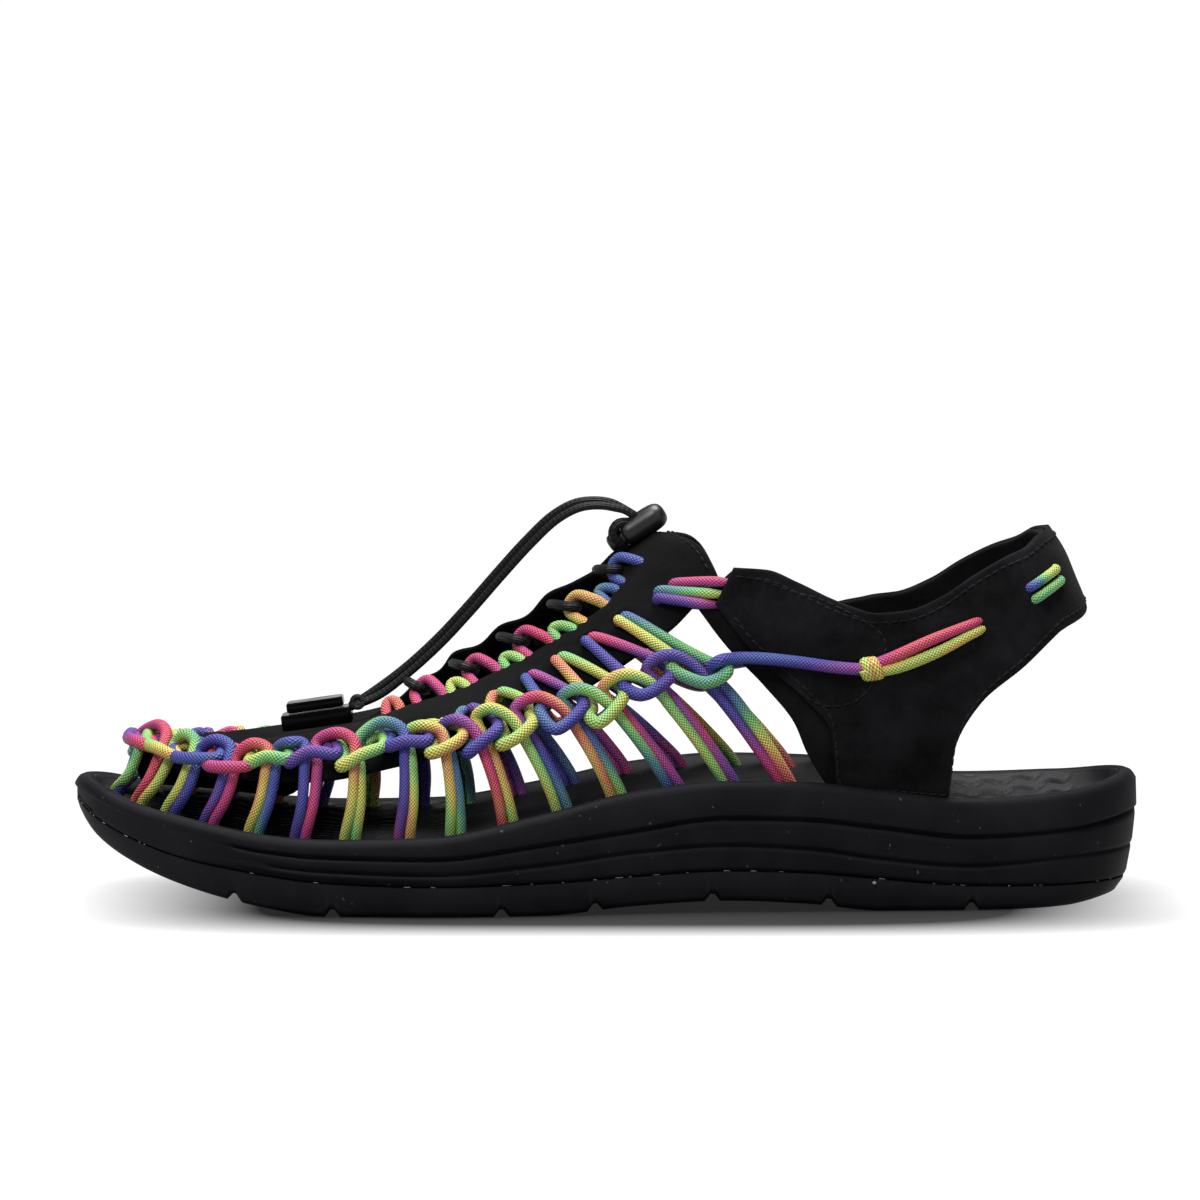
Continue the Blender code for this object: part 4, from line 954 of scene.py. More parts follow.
def elastic_material():
    """Black elastic lace with fine ribs along it."""
    nodes = Nodes("ribbed_elastic")
    places = nodes.node("ShaderNodeUVMap", uv_map="along").outputs["UV"]
    split = nodes.node("ShaderNodeSeparateXYZ", {"Vector": places})
    ribs = nodes.maths("SINE", nodes.maths("MULTIPLY", split.outputs["X"], ELASTIC_RIBS * FULL_TURN))
    cross = nodes.maths("SINE", nodes.maths("MULTIPLY", split.outputs["Y"], ELASTIC_CROSS))
    weave = nodes.maths("ADD", nodes.maths("MULTIPLY", ribs, 0.7), nodes.maths("MULTIPLY", cross, 0.3))
    colour = nodes.mix(nodes.ramp(weave, -1.0, 1.0), ELASTIC_DARK, ELASTIC_LIGHT)
    return nodes.finish(Base_Color=colour, Normal=nodes.bump(weave, 0.5, 0.0003), Roughness=0.5,
                        Specular_IOR_Level=0.14)


PLASTICS = table(
    "name red green blue roughness grain gloss",
    ("glossy_plastic", 0.0012, 0.0012, 0.0012, 0.2, 0.02, 0.06),
    ("rubbery_plastic", 0.004, 0.004, 0.0045, 0.4, 0.08, 0.3),
)
GRAIN_SCALE, SMUDGE_SCALE, SMUDGE_LIGHT = 1400.0, 160.0, 1.5


def plastic_material(plastic):
    """Moulded plastic with a fine grain and slow smudges in its gloss."""
    nodes = Nodes(plastic.name)
    grain = nodes.noise(GRAIN_SCALE, 2.0)
    smudge = nodes.noise(SMUDGE_SCALE, 3.0)
    rough = nodes.ramp(smudge, 0.3, 0.7, plastic.roughness - 0.05, plastic.roughness + 0.06)
    colour = nodes.mix(nodes.ramp(smudge, 0.3, 0.8), shade_of(plastic), shade_of(plastic, SMUDGE_LIGHT))
    return nodes.finish(Base_Color=colour, Normal=nodes.bump(grain, plastic.grain, 0.0002), Roughness=rough,
                        Specular_IOR_Level=plastic.gloss)


# Sole
SOLE_STATIONS = 260
TREAD_COLUMNS, FOOTBED_COLUMNS, TRAY_COLUMNS, HIDDEN_COLUMNS = 40, 150, 9, 3


def even_turns(extra=()):
    angles = np.linspace(0.0, math.pi, SOLE_STATIONS + 1)
    angles = np.unique(np.concatenate([angles, np.arccos(np.asarray(extra, float) / HALF_LENGTH)]))
    return np.concatenate([angles, FULL_TURN - angles[-2:0:-1]])


def side_ring(turns, level, notch=0.0, bulge=0.0):
    plan = edge_plan(turns)
    x = plan[:, 0]
    back = ease(BACK_FROM, BACK_TO, x)
    inset = level.inset + (level.back_inset - level.inset) * back
    if level.line not in ("floor", "rim"):
        smooth = SMOOTH_TOE_INSET + (SMOOTH_TOE_SEAM if level.inset > SEAM_INSET else 0.0)
        inset = inset + (smooth - inset) * (1 - ease(SMOOTH_TOE_FROM, SMOOTH_TOE_TO, x))
    start = GROOVE_STARTS.get(level.line, 0.0)
    inset = inset + level.groove * GROOVE_DEPTH * ease(start, start + GROOVE_START_LENGTH, x) - bulge
    narrow = 1.0
    if level.line in GROOVE_STARTS:
        narrow = TOE_NARROW + (1 - TOE_NARROW) * ease(TOE_NARROW_FROM, TOE_NARROW_TO, x)
    height = sole_line[level.line](x) + level.above * narrow + notch
    place = plan - edge_outward(turns) * np.broadcast_to(inset, x.shape)[:, None]
    return np.column_stack([place, height])


def cap_ring(form, ring, columns, height_at=None):
    """Close a ring round the sole with rows of faces across it."""
    count = len(ring)
    half = count // 2
    left = ring[1:half]
    right = ring[:half:-1]
    shares = np.linspace(0.0, 1.0, columns + 2)[None, :, None]
    rows = left[:, None] * (1 - shares) + right[:, None] * shares
    if height_at is not None:
        inner = rows[:, 1:-1]
        across = np.broadcast_to(2 * shares[:, 1:-1, 0] - 1, inner.shape[:2])
        inner[..., 2] = height_at(inner[..., 0], inner[..., 1], across)
    first = form.grid(rows)
    width = columns + 2
    form.open_fan([first + k for k in range(width)], ring[0])
    last = first + (len(left) - 1) * width
    form.open_fan([last + k for k in range(width)], ring[half])


def make_outsole(material):
    mouths = [place + side * NOTCH_MOUTH_HALF for place in NOTCH_PLACES for side in (-1, 1)]
    tops = np.array([place + side * NOTCH_TOP_HALF for place in NOTCH_PLACES for side in (-1, 1)])
    turns = even_turns(list(mouths) + list(tops))
    x = edge_plan(turns)[:, 0]
    inside = np.zeros(len(x))
    for place in NOTCH_PLACES:
        off = np.abs(x - place) - NOTCH_TOP_HALF
        inside = np.maximum(inside, 1 - np.clip(off / (NOTCH_MOUTH_HALF - NOTCH_TOP_HALF), 0, 1))
    notch = NOTCH_DEPTH * inside
    form = Form()
    rings = np.array([
        side_ring(turns, level, notch if level.line == "floor" else 0.0) for level in OUTSOLE_LEVELS
    ])
    form.grid(rings, wrap_columns=True)
    cap_ring(form, rings[0], TREAD_COLUMNS)
    cap_ring(form, rings[-1], HIDDEN_COLUMNS)
    return make_piece("outsole_tread", form, material, ["outsole"],
                      weld=WELD, sharp=SHARP_EDGE)


TRAY_DEPTH, TRAY_WALL = 3.3, 2.6


def make_midsole(material):
    turns = even_turns()
    rings = [side_ring(turns, level) for level in MIDSOLE_LEVELS]

    def tray(x, y, across):
        return footbed_height(x, across) - TRAY_DEPTH

    floor = SideLevel("rim", -RIM_STEP - TRAY_WALL, RIM_WIDTH, RIM_WIDTH, 0.0)
    rings.append(side_ring(turns, floor))
    form = Form()
    form.grid(np.array(rings), wrap_columns=True)
    cap_ring(form, rings[0], HIDDEN_COLUMNS)
    cap_ring(form, rings[-1], TRAY_COLUMNS, tray)
    return make_piece("midsole_body", form, material, ["midsole"], weld=WELD)


FLECKS, FLECK_RADIUS, FLECK_SEED = 80, 0.09, 12
FLECK_HEEL_GAP, FLECK_SHORTEST, FLECK_LONGEST = 0.25, 0.003, 0.014
FLECK_LEVEL = SideLevel("parting", 0.15, 1.7, 3.3, 0.0)
CHIP_X, CHIP_HALF_TURN, CHIP_RADII = 69.6, 0.004, (0.2, 0.55, 0.3)
CHIP_LEVEL = SideLevel("parting", -1.0, 1.1, 3.0, 0.0)


def make_flecks(material):
    """Short pale threads of rubber left along the parting line, and one chip."""
    rng = np.random.default_rng(FLECK_SEED)
    form = Form()
    for start in rng.uniform(FLECK_HEEL_GAP, FULL_TURN - FLECK_HEEL_GAP, FLECKS):
        turns = start + np.linspace(0.0, rng.uniform(FLECK_SHORTEST, FLECK_LONGEST), 4)
        tube(form, side_ring(turns, FLECK_LEVEL), FLECK_RADIUS * rng.uniform(0.6, 1.3), 5, every=0.6)
    turns = math.acos(CHIP_X / HALF_LENGTH) + np.linspace(-CHIP_HALF_TURN, CHIP_HALF_TURN, 3)
    tube(form, side_ring(turns, CHIP_LEVEL), CHIP_RADII, 6, every=0.2)
    return make_piece("parting_flecks", form, material)


SIPE_APART, SIPE_WAVE, SIPE_WAVELENGTH, SIPE_DEPTH, SIPE_WIDTH = 5.2, 1.2, 8.0, 1.2, 1.0
SIPE_ZONES = table(
    "name start full fade end",
    ("forefoot", -128.0, -122.0, -40.0, -30.0),
    ("heel", 88.0, 93.0, 120.0, 126.0),
)


def sipe_depth(x, y):
    """Depth of the wavy grooves that cross the forefoot and the heel of the footbed."""
    wave = y + SIPE_WAVE * np.sin(x * FULL_TURN / SIPE_WAVELENGTH)
    off = np.abs(np.mod(wave / SIPE_APART, 1.0) - 0.5) * SIPE_APART
    groove = np.clip(1 - off / SIPE_WIDTH, 0.0, 1.0)
    zones = [ease(zone.start, zone.full, x) * (1 - ease(zone.fade, zone.end, x)) for zone in SIPE_ZONES]
    return SIPE_DEPTH * groove * np.maximum(*zones)


BED_THICKNESS, BED_EDGE_RISE, BED_EDGE_FROM = 1.4, 1.2, 0.55
SIPE_EDGE, BED_UNDER_COLUMNS = 12, 5


def make_footbed(material):
    turns = even_turns()
    form = Form()
    inset = RIM_WIDTH + GAP
    top = SideLevel("rim", -RIM_STEP + BED_EDGE_RISE, inset, inset, 0.0)
    side = SideLevel("rim", -RIM_STEP - BED_THICKNESS, inset, inset, 0.0)
    upper, lower = side_ring(turns, top), side_ring(turns, side)
    form.grid(np.array([lower, upper]), wrap_columns=True)

    def surface(x, y, across):
        edge = np.clip((1 - np.abs(across)) * SIPE_EDGE, 0.0, 1.0)
        rise = BED_EDGE_RISE * ease(BED_EDGE_FROM, 1.0, np.abs(across))
        return footbed_height(x, across) + rise - edge * sipe_depth(x, y)

    cap_ring(form, upper, FOOTBED_COLUMNS, surface)
    cap_ring(form, lower, BED_UNDER_COLUMNS, lambda x, y, across: footbed_height(x, across) - BED_THICKNESS)
    return make_piece("footbed", form, material, ["insole"], weld=WELD)


# Sheets of suede
EDGE_ROUND = 0.8


def rounding(distance):
    """Share of the thickness that is left this far in from a cut edge."""
    inside = np.clip(distance / EDGE_ROUND, 0.0, 1.0)
    return np.sqrt(np.maximum(1 - (1 - inside) ** 2, 0.0))


def clustered(count):
    """Shares from 0 to 1 with close steps at both ends."""
    ends = np.array([0.0, 0.004, 0.012, 0.025, 0.05])
    middle = np.linspace(0.05, 0.95, count)[1:-1]
    return np.concatenate([ends, middle, 1 - ends[::-1]])


def soft_noise(points, size, seed):
    """Slow waves over a sheet, the same on each run."""
    rng = np.random.default_rng(seed)
    total = np.zeros(points.shape[:-1])
    for _ in range(6):
        direction = unit(rng.normal(size=3)) * FULL_TURN / (size * rng.uniform(0.7, 1.6))
        total += np.sin(points @ direction + rng.uniform(0, FULL_TURN))
    return total / 6


def add_sheet(form, points, outward, inner_lift, thickness, share):
    """Add a sheet's two faces, with the share of its thickness that is left at each point."""
    middle, half = inner_lift + thickness / 2, thickness / 2
    for face in (half, -half):
        form.grid(points + outward * (middle + face * share)[..., None])


panel_edge = table_curves(PANEL_EDGES, "pair")


def panel_place(pair, share):
    """Points and outward directions on the panel, where share runs from its lower edge to its inner one."""
    pair, share = np.broadcast_arrays(np.asarray(pair, float), np.asarray(share, float))
    number = np.abs(pair)
    side = np.where(pair < 0, -1.0, 1.0)
    far = pair < 0
    low, high = panel_edge["low"](number), panel_edge["high"](number)
    guard = GUARD_SHARE * ease(GUARD_FROM, GUARD_FULL, number) * (1 - ease(GUARD_FADE, GUARD_TO, number))
    low = np.where(far, low * (1 - guard), low)
    open_share = ease(CURL_FROM, CURL_FULL, number)
    high = np.where(far, np.maximum(high, high + (FAR_HIGH - high) * open_share), high)
    up = low + share * (high - low)
    sweep = PANEL_END_SWEEP * share + PANEL_END_BULGE * np.sin(math.pi * share)
    swept = number + sweep * ease(PANEL_SWEEP_FROM, PANEL_LAST_PAIR, number)
    outward = last_outward(side * swept, np.minimum(up, CREST_NEAR))
    mirrored = last_outward(-side * swept, np.minimum(up, CREST_NEAR))
    closed = (number <= SLIT_PAIR) | (number >= CLOSED_PAIR)
    crest = (ease(0.8, 1.0, up) * closed)[..., None]
    outward = unit(outward + crest * mirrored)
    points = last_point(side * swept, up)
    points[..., 2] -= PANEL_SAG * (1 - ease(SAG_FROM, SAG_TO, number)) * ease(0.45, 1.0, up)
    rise = CREST_RISE * ease(RISE_FROM, RISE_FULL, swept) * (1 - ease(RISE_FADE, RISE_TO, swept))
    points[..., 2] += rise * ease(0.6, 1.0, up)
    far_curl = FAR_CURL + FAR_WAVE * np.cos(FULL_TURN * (number - WAVE_PAIR) / WAVE_LENGTH)
    curl = np.where(far, far_curl, NEAR_CURL) * open_share * (1 - ease(CURL_FADE, CURL_TO, number))
    points = points + outward * (curl * ease(0.5, 1.0, share))[..., None]
    return points, outward


def pucker(points):
    """How far the panel stands out near the holes that its cords pass through."""
    rise = np.zeros(points.shape[:-1])
    for side in (LATERAL, MEDIAL):
        for pair in range(1, PAIRS + 1):
            off = np.linalg.norm(points - hole_point(pair, 0.0, 0.0, side), axis=-1)
            rise += PUCKER_RISE * np.exp(-((off - PUCKER_RADIUS) / PUCKER_WIDTH) ** 2)
            rise -= DIMPLE_DEPTH * np.exp(-(off / DIMPLE_RADIUS) ** 2)
    return rise


def make_vamp_panel(material):
    front = np.linspace(0.0, SLIT_PAIR, 41)
    back = SLIT_PAIR + (PANEL_LAST_PAIR - SLIT_PAIR) * np.concatenate(
        [np.linspace(0.0, 0.985, 90)[1:], [0.991, 0.996, 1.0]])
    half = np.concatenate([front, back])
    pairs = np.concatenate([-half[:0:-1], half])
    shares = clustered(26)
    points, outward = panel_place(pairs[:, None], shares[None, :])
    lengths = np.linalg.norm(points[:, -1] - points[:, 0], axis=-1)
    inner_open = (np.abs(pairs) > SLIT_PAIR + 1e-6) & (np.abs(pairs) < CLOSED_PAIR)
    from_low = rounding(shares[None, :] * lengths[:, None])
    from_high = rounding((1 - shares)[None, :] * lengths[:, None])
    from_high = np.where(inner_open[:, None], from_high, 1.0)
    along = lengths_along(points.mean(1))
    ends = rounding(np.minimum(along, along[-1] - along))
    share = from_low * from_high * ends[:, None]
    waves = PANEL_WAVE * soft_noise(points, PANEL_WAVE_SIZE, PANEL_SEED)
    points = points + outward * (waves + pucker(points))[..., None]
    form = Form()
    add_sheet(form, points, outward, -PANEL_THICKNESS, PANEL_THICKNESS, share)
    return make_piece("vamp_panel_suede", form, material, ["vamp_panel"], weld=WELD)


heel_section = table_curves(HEEL_SECTIONS, "place")
heel_level = table_curves(HEEL_LEVELS, "z")


def heel_wall(x, z, side):
    """Points on the outer face of the heel lining: straight along the ankle, then round the back."""
    back = heel_level["back_x"](z)
    share = np.clip((x - HEEL_STRAIGHT_X) / (back - HEEL_STRAIGHT_X), 0.0, 1.0)
    width = heel_level["half_width"](z) * (1 - share**HEEL_ROUNDNESS) ** (1 / HEEL_ROUNDNESS)
    width = width - FRONT_PINCH * (1 - ease(PINCH_FROM, PINCH_TO, x))
    return np.stack(np.broadcast_arrays(np.minimum(x, back), HEEL_CENTRE_Y + side * width, z), -1)


def heel_outward(x, z, side):
    step = 0.25
    inner_x = np.minimum(x, heel_level["back_x"](z) - 2 * step)
    along = heel_wall(inner_x + step, z, side) - heel_wall(inner_x - step, z, side)
    rise = heel_wall(inner_x, z + step, side) - heel_wall(inner_x, z - step, side)
    outward = unit(np.cross(along, rise) * -side)
    slope = heel_level["back_x"](z + step) - heel_level["back_x"](z - step)
    behind = unit(np.stack(np.broadcast_arrays(2 * step + 0 * x, 0.0 * x, -slope), -1))
    close = ease(3.0, 0.0, heel_level["back_x"](z) - x)[..., None]
    return unit(outward * (1 - close) + behind * close)


def on_heel(x, z, side, lift):
    x, z = np.asarray(x, float), np.asarray(z, float)
    return heel_wall(x, z, side) + heel_outward(x, z, side) * np.asarray(lift, float)[..., None]


def heel_drop(place, side):
    return MEDIAL_DROP * (1 - ease(DROP_FROM, DROP_TO, place)) * (side == MEDIAL)


def heel_place(place, row, layer, side):
    """x and z of a place along the strap, where row runs from its lower edge to the collar."""
    section = {name: curve(place) for name, curve in heel_section.items()}
    low_x, low_z = section[f"{layer}_x"], section[f"{layer}_z"]
    x = low_x + row * (section["top_x"] - low_x)
    z = low_z + row * (section["top_z"] - heel_drop(place, side) - low_z)
    at_back = ease(11.0, 12.0, place)
    return x * (1 - at_back) + heel_level["back_x"](z) * at_back, z


HEEL_WALLS = table(
    "node layer inner_lift thickness slot seed",
    ("heel_lining", LINING, -LINING_THICKNESS, LINING_THICKNESS, "lining", 7),
    ("heel_strap", STRAP, GAP, STRAP_THICKNESS, "suede", 9),
)
HEEL_WAVE, HEEL_WAVE_SIZE = 0.12, 26.0


def make_heel_wall(wall, material):
    places = np.concatenate([[0.0, 0.02, 0.05, 0.1], np.linspace(0.15, 11.0, 110),
                             12.0 - np.geomspace(1.0, 0.012, 26)[1:], [12.0]])
    rows = clustered(30)
    form = Form()
    grids = []
    for side in (LATERAL, MEDIAL):
        x, z = heel_place(places[:, None], rows[None, :], wall.layer, side)
        points, outward = heel_wall(x, z, side), heel_outward(x, z, side)
        grids.append((points, outward) if side == LATERAL else (points[-2::-1], outward[-2::-1]))
    points, outward = (np.concatenate([a, b]) for a, b in zip(*grids))
    lengths = np.linalg.norm(points[:, -1] - points[:, 0], axis=-1)
    edge = rounding(np.minimum(rows, 1 - rows)[None, :] * lengths[:, None])
    along = lengths_along(points.mean(1))
    share = edge * rounding(np.minimum(along, along[-1] - along))[:, None]
    points = points + outward * (HEEL_WAVE * soft_noise(points, HEEL_WAVE_SIZE, wall.seed))[..., None]
    add_sheet(form, points, outward, wall.inner_lift, wall.thickness, share)
    return make_piece(f"{wall.node}_suede", form, material, [wall.node], weld=WELD)


# Stitching
STITCH_LENGTH, STITCH_EVERY, STITCH_RADIUS = 1.7, 2.5, 0.24
STITCH_INSET, STITCH_LIFT = 2.6, 0.05
STITCH_STEPS = table("share lift", (0.0, -0.15), (0.2, 0.12), (0.8, 0.12), (1.0, -0.15))


def stitch_line(form, path, outward):
    """Lay short stitches along a line on a surface."""
    path, outward = np.asarray(path, float), np.asarray(outward, float)
    passed = lengths_along(path)
    for start in np.arange(0.0, passed[-1] - STITCH_LENGTH, STITCH_EVERY):
        stops = start + STITCH_LENGTH * column(STITCH_STEPS, "share")
        route = np.column_stack([np.interp(stops, passed, path[:, k]) for k in range(3)])
        normal = np.column_stack([np.interp(stops, passed, outward[:, k]) for k in range(3)])
        tube(form, route + normal * column(STITCH_STEPS, "lift")[:, None], STITCH_RADIUS, 5, every=0.5)


def heel_line(places, rows, side, layer, lift):
    x, z = heel_place(np.asarray(places, float), np.asarray(rows, float), layer, side)
    return on_heel(x, z, side, lift), heel_outward(x, z, side)


TAB_LOW, TAB_HIGH = 60.0, 86.0
TAB_OUTLINE = table(
    "x z",
    (34.5, 85.4), (41.0, 84.6), (48.5, 82.0), (56.0, 80.0), (62.0, 77.2), (67.5, 74.2), (71.3, 71.0),
    (72.3, 68.0), (71.0, 63.5), (68.6, 58.6), (64.6, 54.6), (59.4, 53.2), (54.6, 54.0), (49.0, 58.2),
)
WING_STITCH_INSET, WING_STITCH_LOW, WING_STITCH_HIGH = 0.28, 0.12, 0.94


def make_stitches(material):
    form = Form()
    lift = STRAP_FACE + STITCH_LIFT
    places = np.linspace(0.5, 11.97, 200)
    for side in (LATERAL, MEDIAL):
        x, z = heel_place(places, np.ones(len(places)), STRAP, side)
        low_x, low_z = heel_place(places, np.zeros(len(places)), STRAP, side)
        length = np.hypot(x - low_x, z - low_z)
        for share in (1 - STITCH_INSET / length, STITCH_INSET / length):
            stitch_line(form, *heel_line(places, share, side, STRAP, lift))
        sink = MEDIAL_DROP if side == MEDIAL else 0.0
        outline = [(x, 0.0, z - sink * ease(TAB_LOW, TAB_HIGH, z)) for x, z in TAB_OUTLINE]
        tab, _ = smooth_route(outline, 1.0)
        x, z = tab[:, 0], tab[:, 2]
        stitch_line(form, on_heel(x, z, side, lift), heel_outward(x, z, side))
        shares = np.linspace(WING_STITCH_LOW, WING_STITCH_HIGH, 60)
        points, outward = panel_place(-side * (PANEL_LAST_PAIR - WING_STITCH_INSET), shares)
        stitch_line(form, points, outward)
    return make_piece("stitching", form, material)


# Cord pieces
def mirrored_dyes(names):
    """The dyes of a medial cord: those of its lateral twin, shifted and run the other way."""
    shifted = [DYES[(DYE_PLACE[name] + MEDIAL_DYE_SHIFT) % len(DYES)].name for name in names.split()]
    return " ".join(reversed(shifted))


ARCH_RADII = [LEG_RADIUS] * 4 + [ARCH_RADIUS] * 3 + [LEG_RADIUS] * 4
HOOK_RADII = [LEG_RADIUS] * 2 + [LINK_RADIUS] * 4 + [LEG_RADIUS] * 3
ARCH_PHASE, HOOK_PHASE, HEEL_PHASE, COLLAR_PHASE = 1.7, 2.3, 0.6, 1.0


def make_cord_upper(material):
    arches, hooks = Form(), Form()
    tube(arches, toe_route(), ARCH_RADII, CORD_SIDES, dye_run(ARCH_DYES[0]))
    for side in (LATERAL, MEDIAL):
        for pair in range(1, PAIRS):
            names = ARCH_DYES[pair] if side == LATERAL else mirrored_dyes(ARCH_DYES[pair])
            tube(arches, arch_route(pair, side), ARCH_RADII, CORD_SIDES, dye_run(names),
                 phase=ARCH_PHASE * pair)
        for pair in range(1, PAIRS + 1):
            names = HOOK_DYES[pair - 1] if side == LATERAL else mirrored_dyes(HOOK_DYES[pair - 1])
            tube(hooks, hook_route(pair, side), HOOK_RADII, CORD_SIDES, dye_run(names),
                 phase=HOOK_PHASE * pair)
    make_piece("cord_arches", arches, material, ["cord_upper"])
    make_piece("cord_hooks", hooks, material)


HEEL_COLUMNS = "x z lift"
HEEL_CORD = table(
    HEEL_COLUMNS,
    (40.0, 64.9, 2.3),
    (50.0, 64.2, 1.8),
    (60.0, 63.0, 1.8),
    (66.0, 62.6, 2.0),
    (69.0, 62.8, 2.2),
)
HEEL_CORD_DYES = "red orange yellow teal blue blue blue violet purple"
MEDIAL_CORD_DROP, CORD_DROP_FROM, CORD_DROP_TO = 6.0, 40.0, 66.0
UPPER_STRAND = table(
    HEEL_COLUMNS,
    (68.6, 63.4, 2.2),
    (74.0, 65.4, 1.9),
    (84.0, 69.8, 1.8),
    (92.8, 73.3, 1.5),
    (96.6, 74.7, -1.2),
)
LOWER_STRAND = table(
    HEEL_COLUMNS,
    (68.8, 62.0, 2.2),
    (75.0, 63.0, 1.8),
    (85.0, 66.6, 1.8),
    (93.6, 71.0, 1.5),
    (97.4, 72.7, -1.2),
)
HEEL_STRANDS = table(
    "steps dyes",
    (UPPER_STRAND, "magenta pink pink pink red"),
    (LOWER_STRAND, "yellow yellow yellow lime"),
)
HEEL_STRAND_RADII = [1.6, 1.6, 1.5, 1.35, 1.2]
KNOT_X, KNOT_Z, KNOT_LIFT = 68.3, 62.7, 1.9
KNOT_RADIUS, KNOT_CORD, KNOT_HALF, KNOT_TURNS, KNOT_POINTS = 1.7, 1.5, 1.7, 3.25, 36
KNOT_WAY, KNOT_SLANT, KNOT_FLATTEN = (1.0, 0.0, 0.12), 0.35, 0.85
KNOT_DYES = "yellow yellow yellow"


def heel_route(steps, side, sink=0.0):
    """Route over the strap's face, lowered at its front by the sink."""
    route = []
    for step in steps:
        z = step.z - sink * (1 - ease(CORD_DROP_FROM, CORD_DROP_TO, step.x))
        route.append(on_heel(step.x, z, side, STRAP_FACE + step.lift))
    return route


def knot_route(side):
    """Turns of the knot, wound round the strands over the strap's face."""
    centre = on_heel(KNOT_X, KNOT_Z, side, STRAP_FACE + KNOT_LIFT)
    out = heel_outward(np.float64(KNOT_X), np.float64(KNOT_Z), side)
    way = unit(np.array(KNOT_WAY))
    up = unit(np.cross(way, out)) * -side
    angles = np.linspace(0.0, KNOT_TURNS * FULL_TURN, KNOT_POINTS)
    shifts = np.linspace(-KNOT_HALF, KNOT_HALF, KNOT_POINTS)
    route = []
    for angle, shift in zip(angles, shifts):
        ring = up * math.sin(angle) + out * math.cos(angle) * KNOT_FLATTEN
        route.append(centre + way * (shift + KNOT_SLANT * math.sin(angle)) + ring * KNOT_RADIUS)
    return route


def make_heel_cords(material):
    for name, side in (("lateral", LATERAL), ("medial", MEDIAL)):
        form = Form()
        foot = foot_points(PAIRS, STRAND_APART, side)
        left, top, right = arch_places(PAIRS, side)
        start = foot + leg_points(foot[-1], left, BACK_LEG_LIFTS, side) + [left, top, right]
        run = heel_route(HEEL_CORD, side, MEDIAL_CORD_DROP if side == MEDIAL else 0.0)
        tube(form, start + run, HEEL_CORD_RADIUS, CORD_SIDES, dye_run(HEEL_CORD_DYES), phase=HEEL_PHASE)
        for strand in HEEL_STRANDS:
            tube(form, heel_route(strand.steps, side), HEEL_STRAND_RADII, CORD_SIDES, dye_run(strand.dyes))
        tube(form, knot_route(side), KNOT_CORD, CORD_SIDES, dye_run(KNOT_DYES), every=0.5)
        make_piece(f"heel_cord_{name}_braid", form, material, [f"heel_cord_{name}"])


BACK_CORDS = table(
    "name front_x front_z rear_x rear_z dyes",
    ("upper", 109.4, 82.6, 115.4, 86.4, "violet yellow yellow violet"),
    ("lower", 110.8, 79.7, 116.6, 83.5, "green lime green teal"),
)
BACK_CORD_RADIUS, BACK_CORD_LIFT, BACK_CORD_CROWN, BACK_CORD_DIVE = 1.28, 0.5, 0.3, 0.2
BACK_CORD_SHARES, BACK_CORD_TURN = (-0.16, 0.0, 0.3, 0.7, 1.0, 1.14), 0.8


def make_back_cords(material):
    """Two short cords over the strap's face that go on inside the strap round the back of the heel."""
    shares = np.array(BACK_CORD_SHARES)
    face = STRAP_FACE + BACK_CORD_LIFT
    crown = face + BACK_CORD_CROWN
    lifts = np.array([0.0, face, crown, crown, face, BACK_CORD_DIVE, 0.0, 0.0])
    for cord in BACK_CORDS:
        form = Form()
        dyes = cord.dyes.split()
        back_x = float(heel_level["back_x"](cord.rear_z))
        xs = cord.front_x + shares * (cord.rear_x - cord.front_x)
        zs = cord.front_z + shares * (cord.rear_z - cord.front_z)
        xs = np.append(xs, [back_x - BACK_CORD_TURN, back_x])
        zs = np.append(zs, [cord.rear_z, cord.rear_z])
        near, far = (on_heel(xs, zs, side, lifts) for side in (LATERAL, MEDIAL))
        route = np.vstack([near, far[-2::-1]])
        tube(form, route, BACK_CORD_RADIUS, CORD_SIDES, dye_run(" ".join(dyes + dyes[::-1])))
        node = f"heel_cord_back_{cord.name}"
        make_piece(f"{node}_braid", form, material, [node])


COLLAR_STRANDS = table(
    "name hole_x hole_z tip_x tip_z dyes",
    ("upper", 17.6, 82.6, 34.0, 84.0, "purple magenta pink"),
    ("middle", 13.6, 80.6, 32.4, 81.0, "teal green lime"),
    ("lower", 13.2, 78.8, 30.4, 78.4, "blue violet pink"),
)
COLLAR_RADIUS, COLLAR_TIP_RADIUS = 1.42, 0.75
COLLAR_RADII = [COLLAR_RADIUS] * 4 + [COLLAR_TIP_RADIUS]
COLLAR_DROP = 4.2
COLLAR_TIP_LIFT, LEAD_BACK, LEAD_RISE, LEAD_LIFT = -0.9, 5.0, 0.2, 0.6
HOLE_SINK, HOLE_LIFT, HOLE_BACK, SAG_SHARE, SAG_LIFT = 2.0, 1.4, 1.0, 0.4, 1.2


def panel_hole(x, z, side):
    """Pair and share up the rib of the place on the last nearest to x and z."""
    pairs, ups = last_grid((7.0, 18.0, 221), (0.35, 0.85, 101))
    points = last_point(-side * pairs, ups)
    best = np.argmin((points[..., 0] - x) ** 2 + (points[..., 2] - z) ** 2)
    return pairs.flat[best], ups.flat[best]


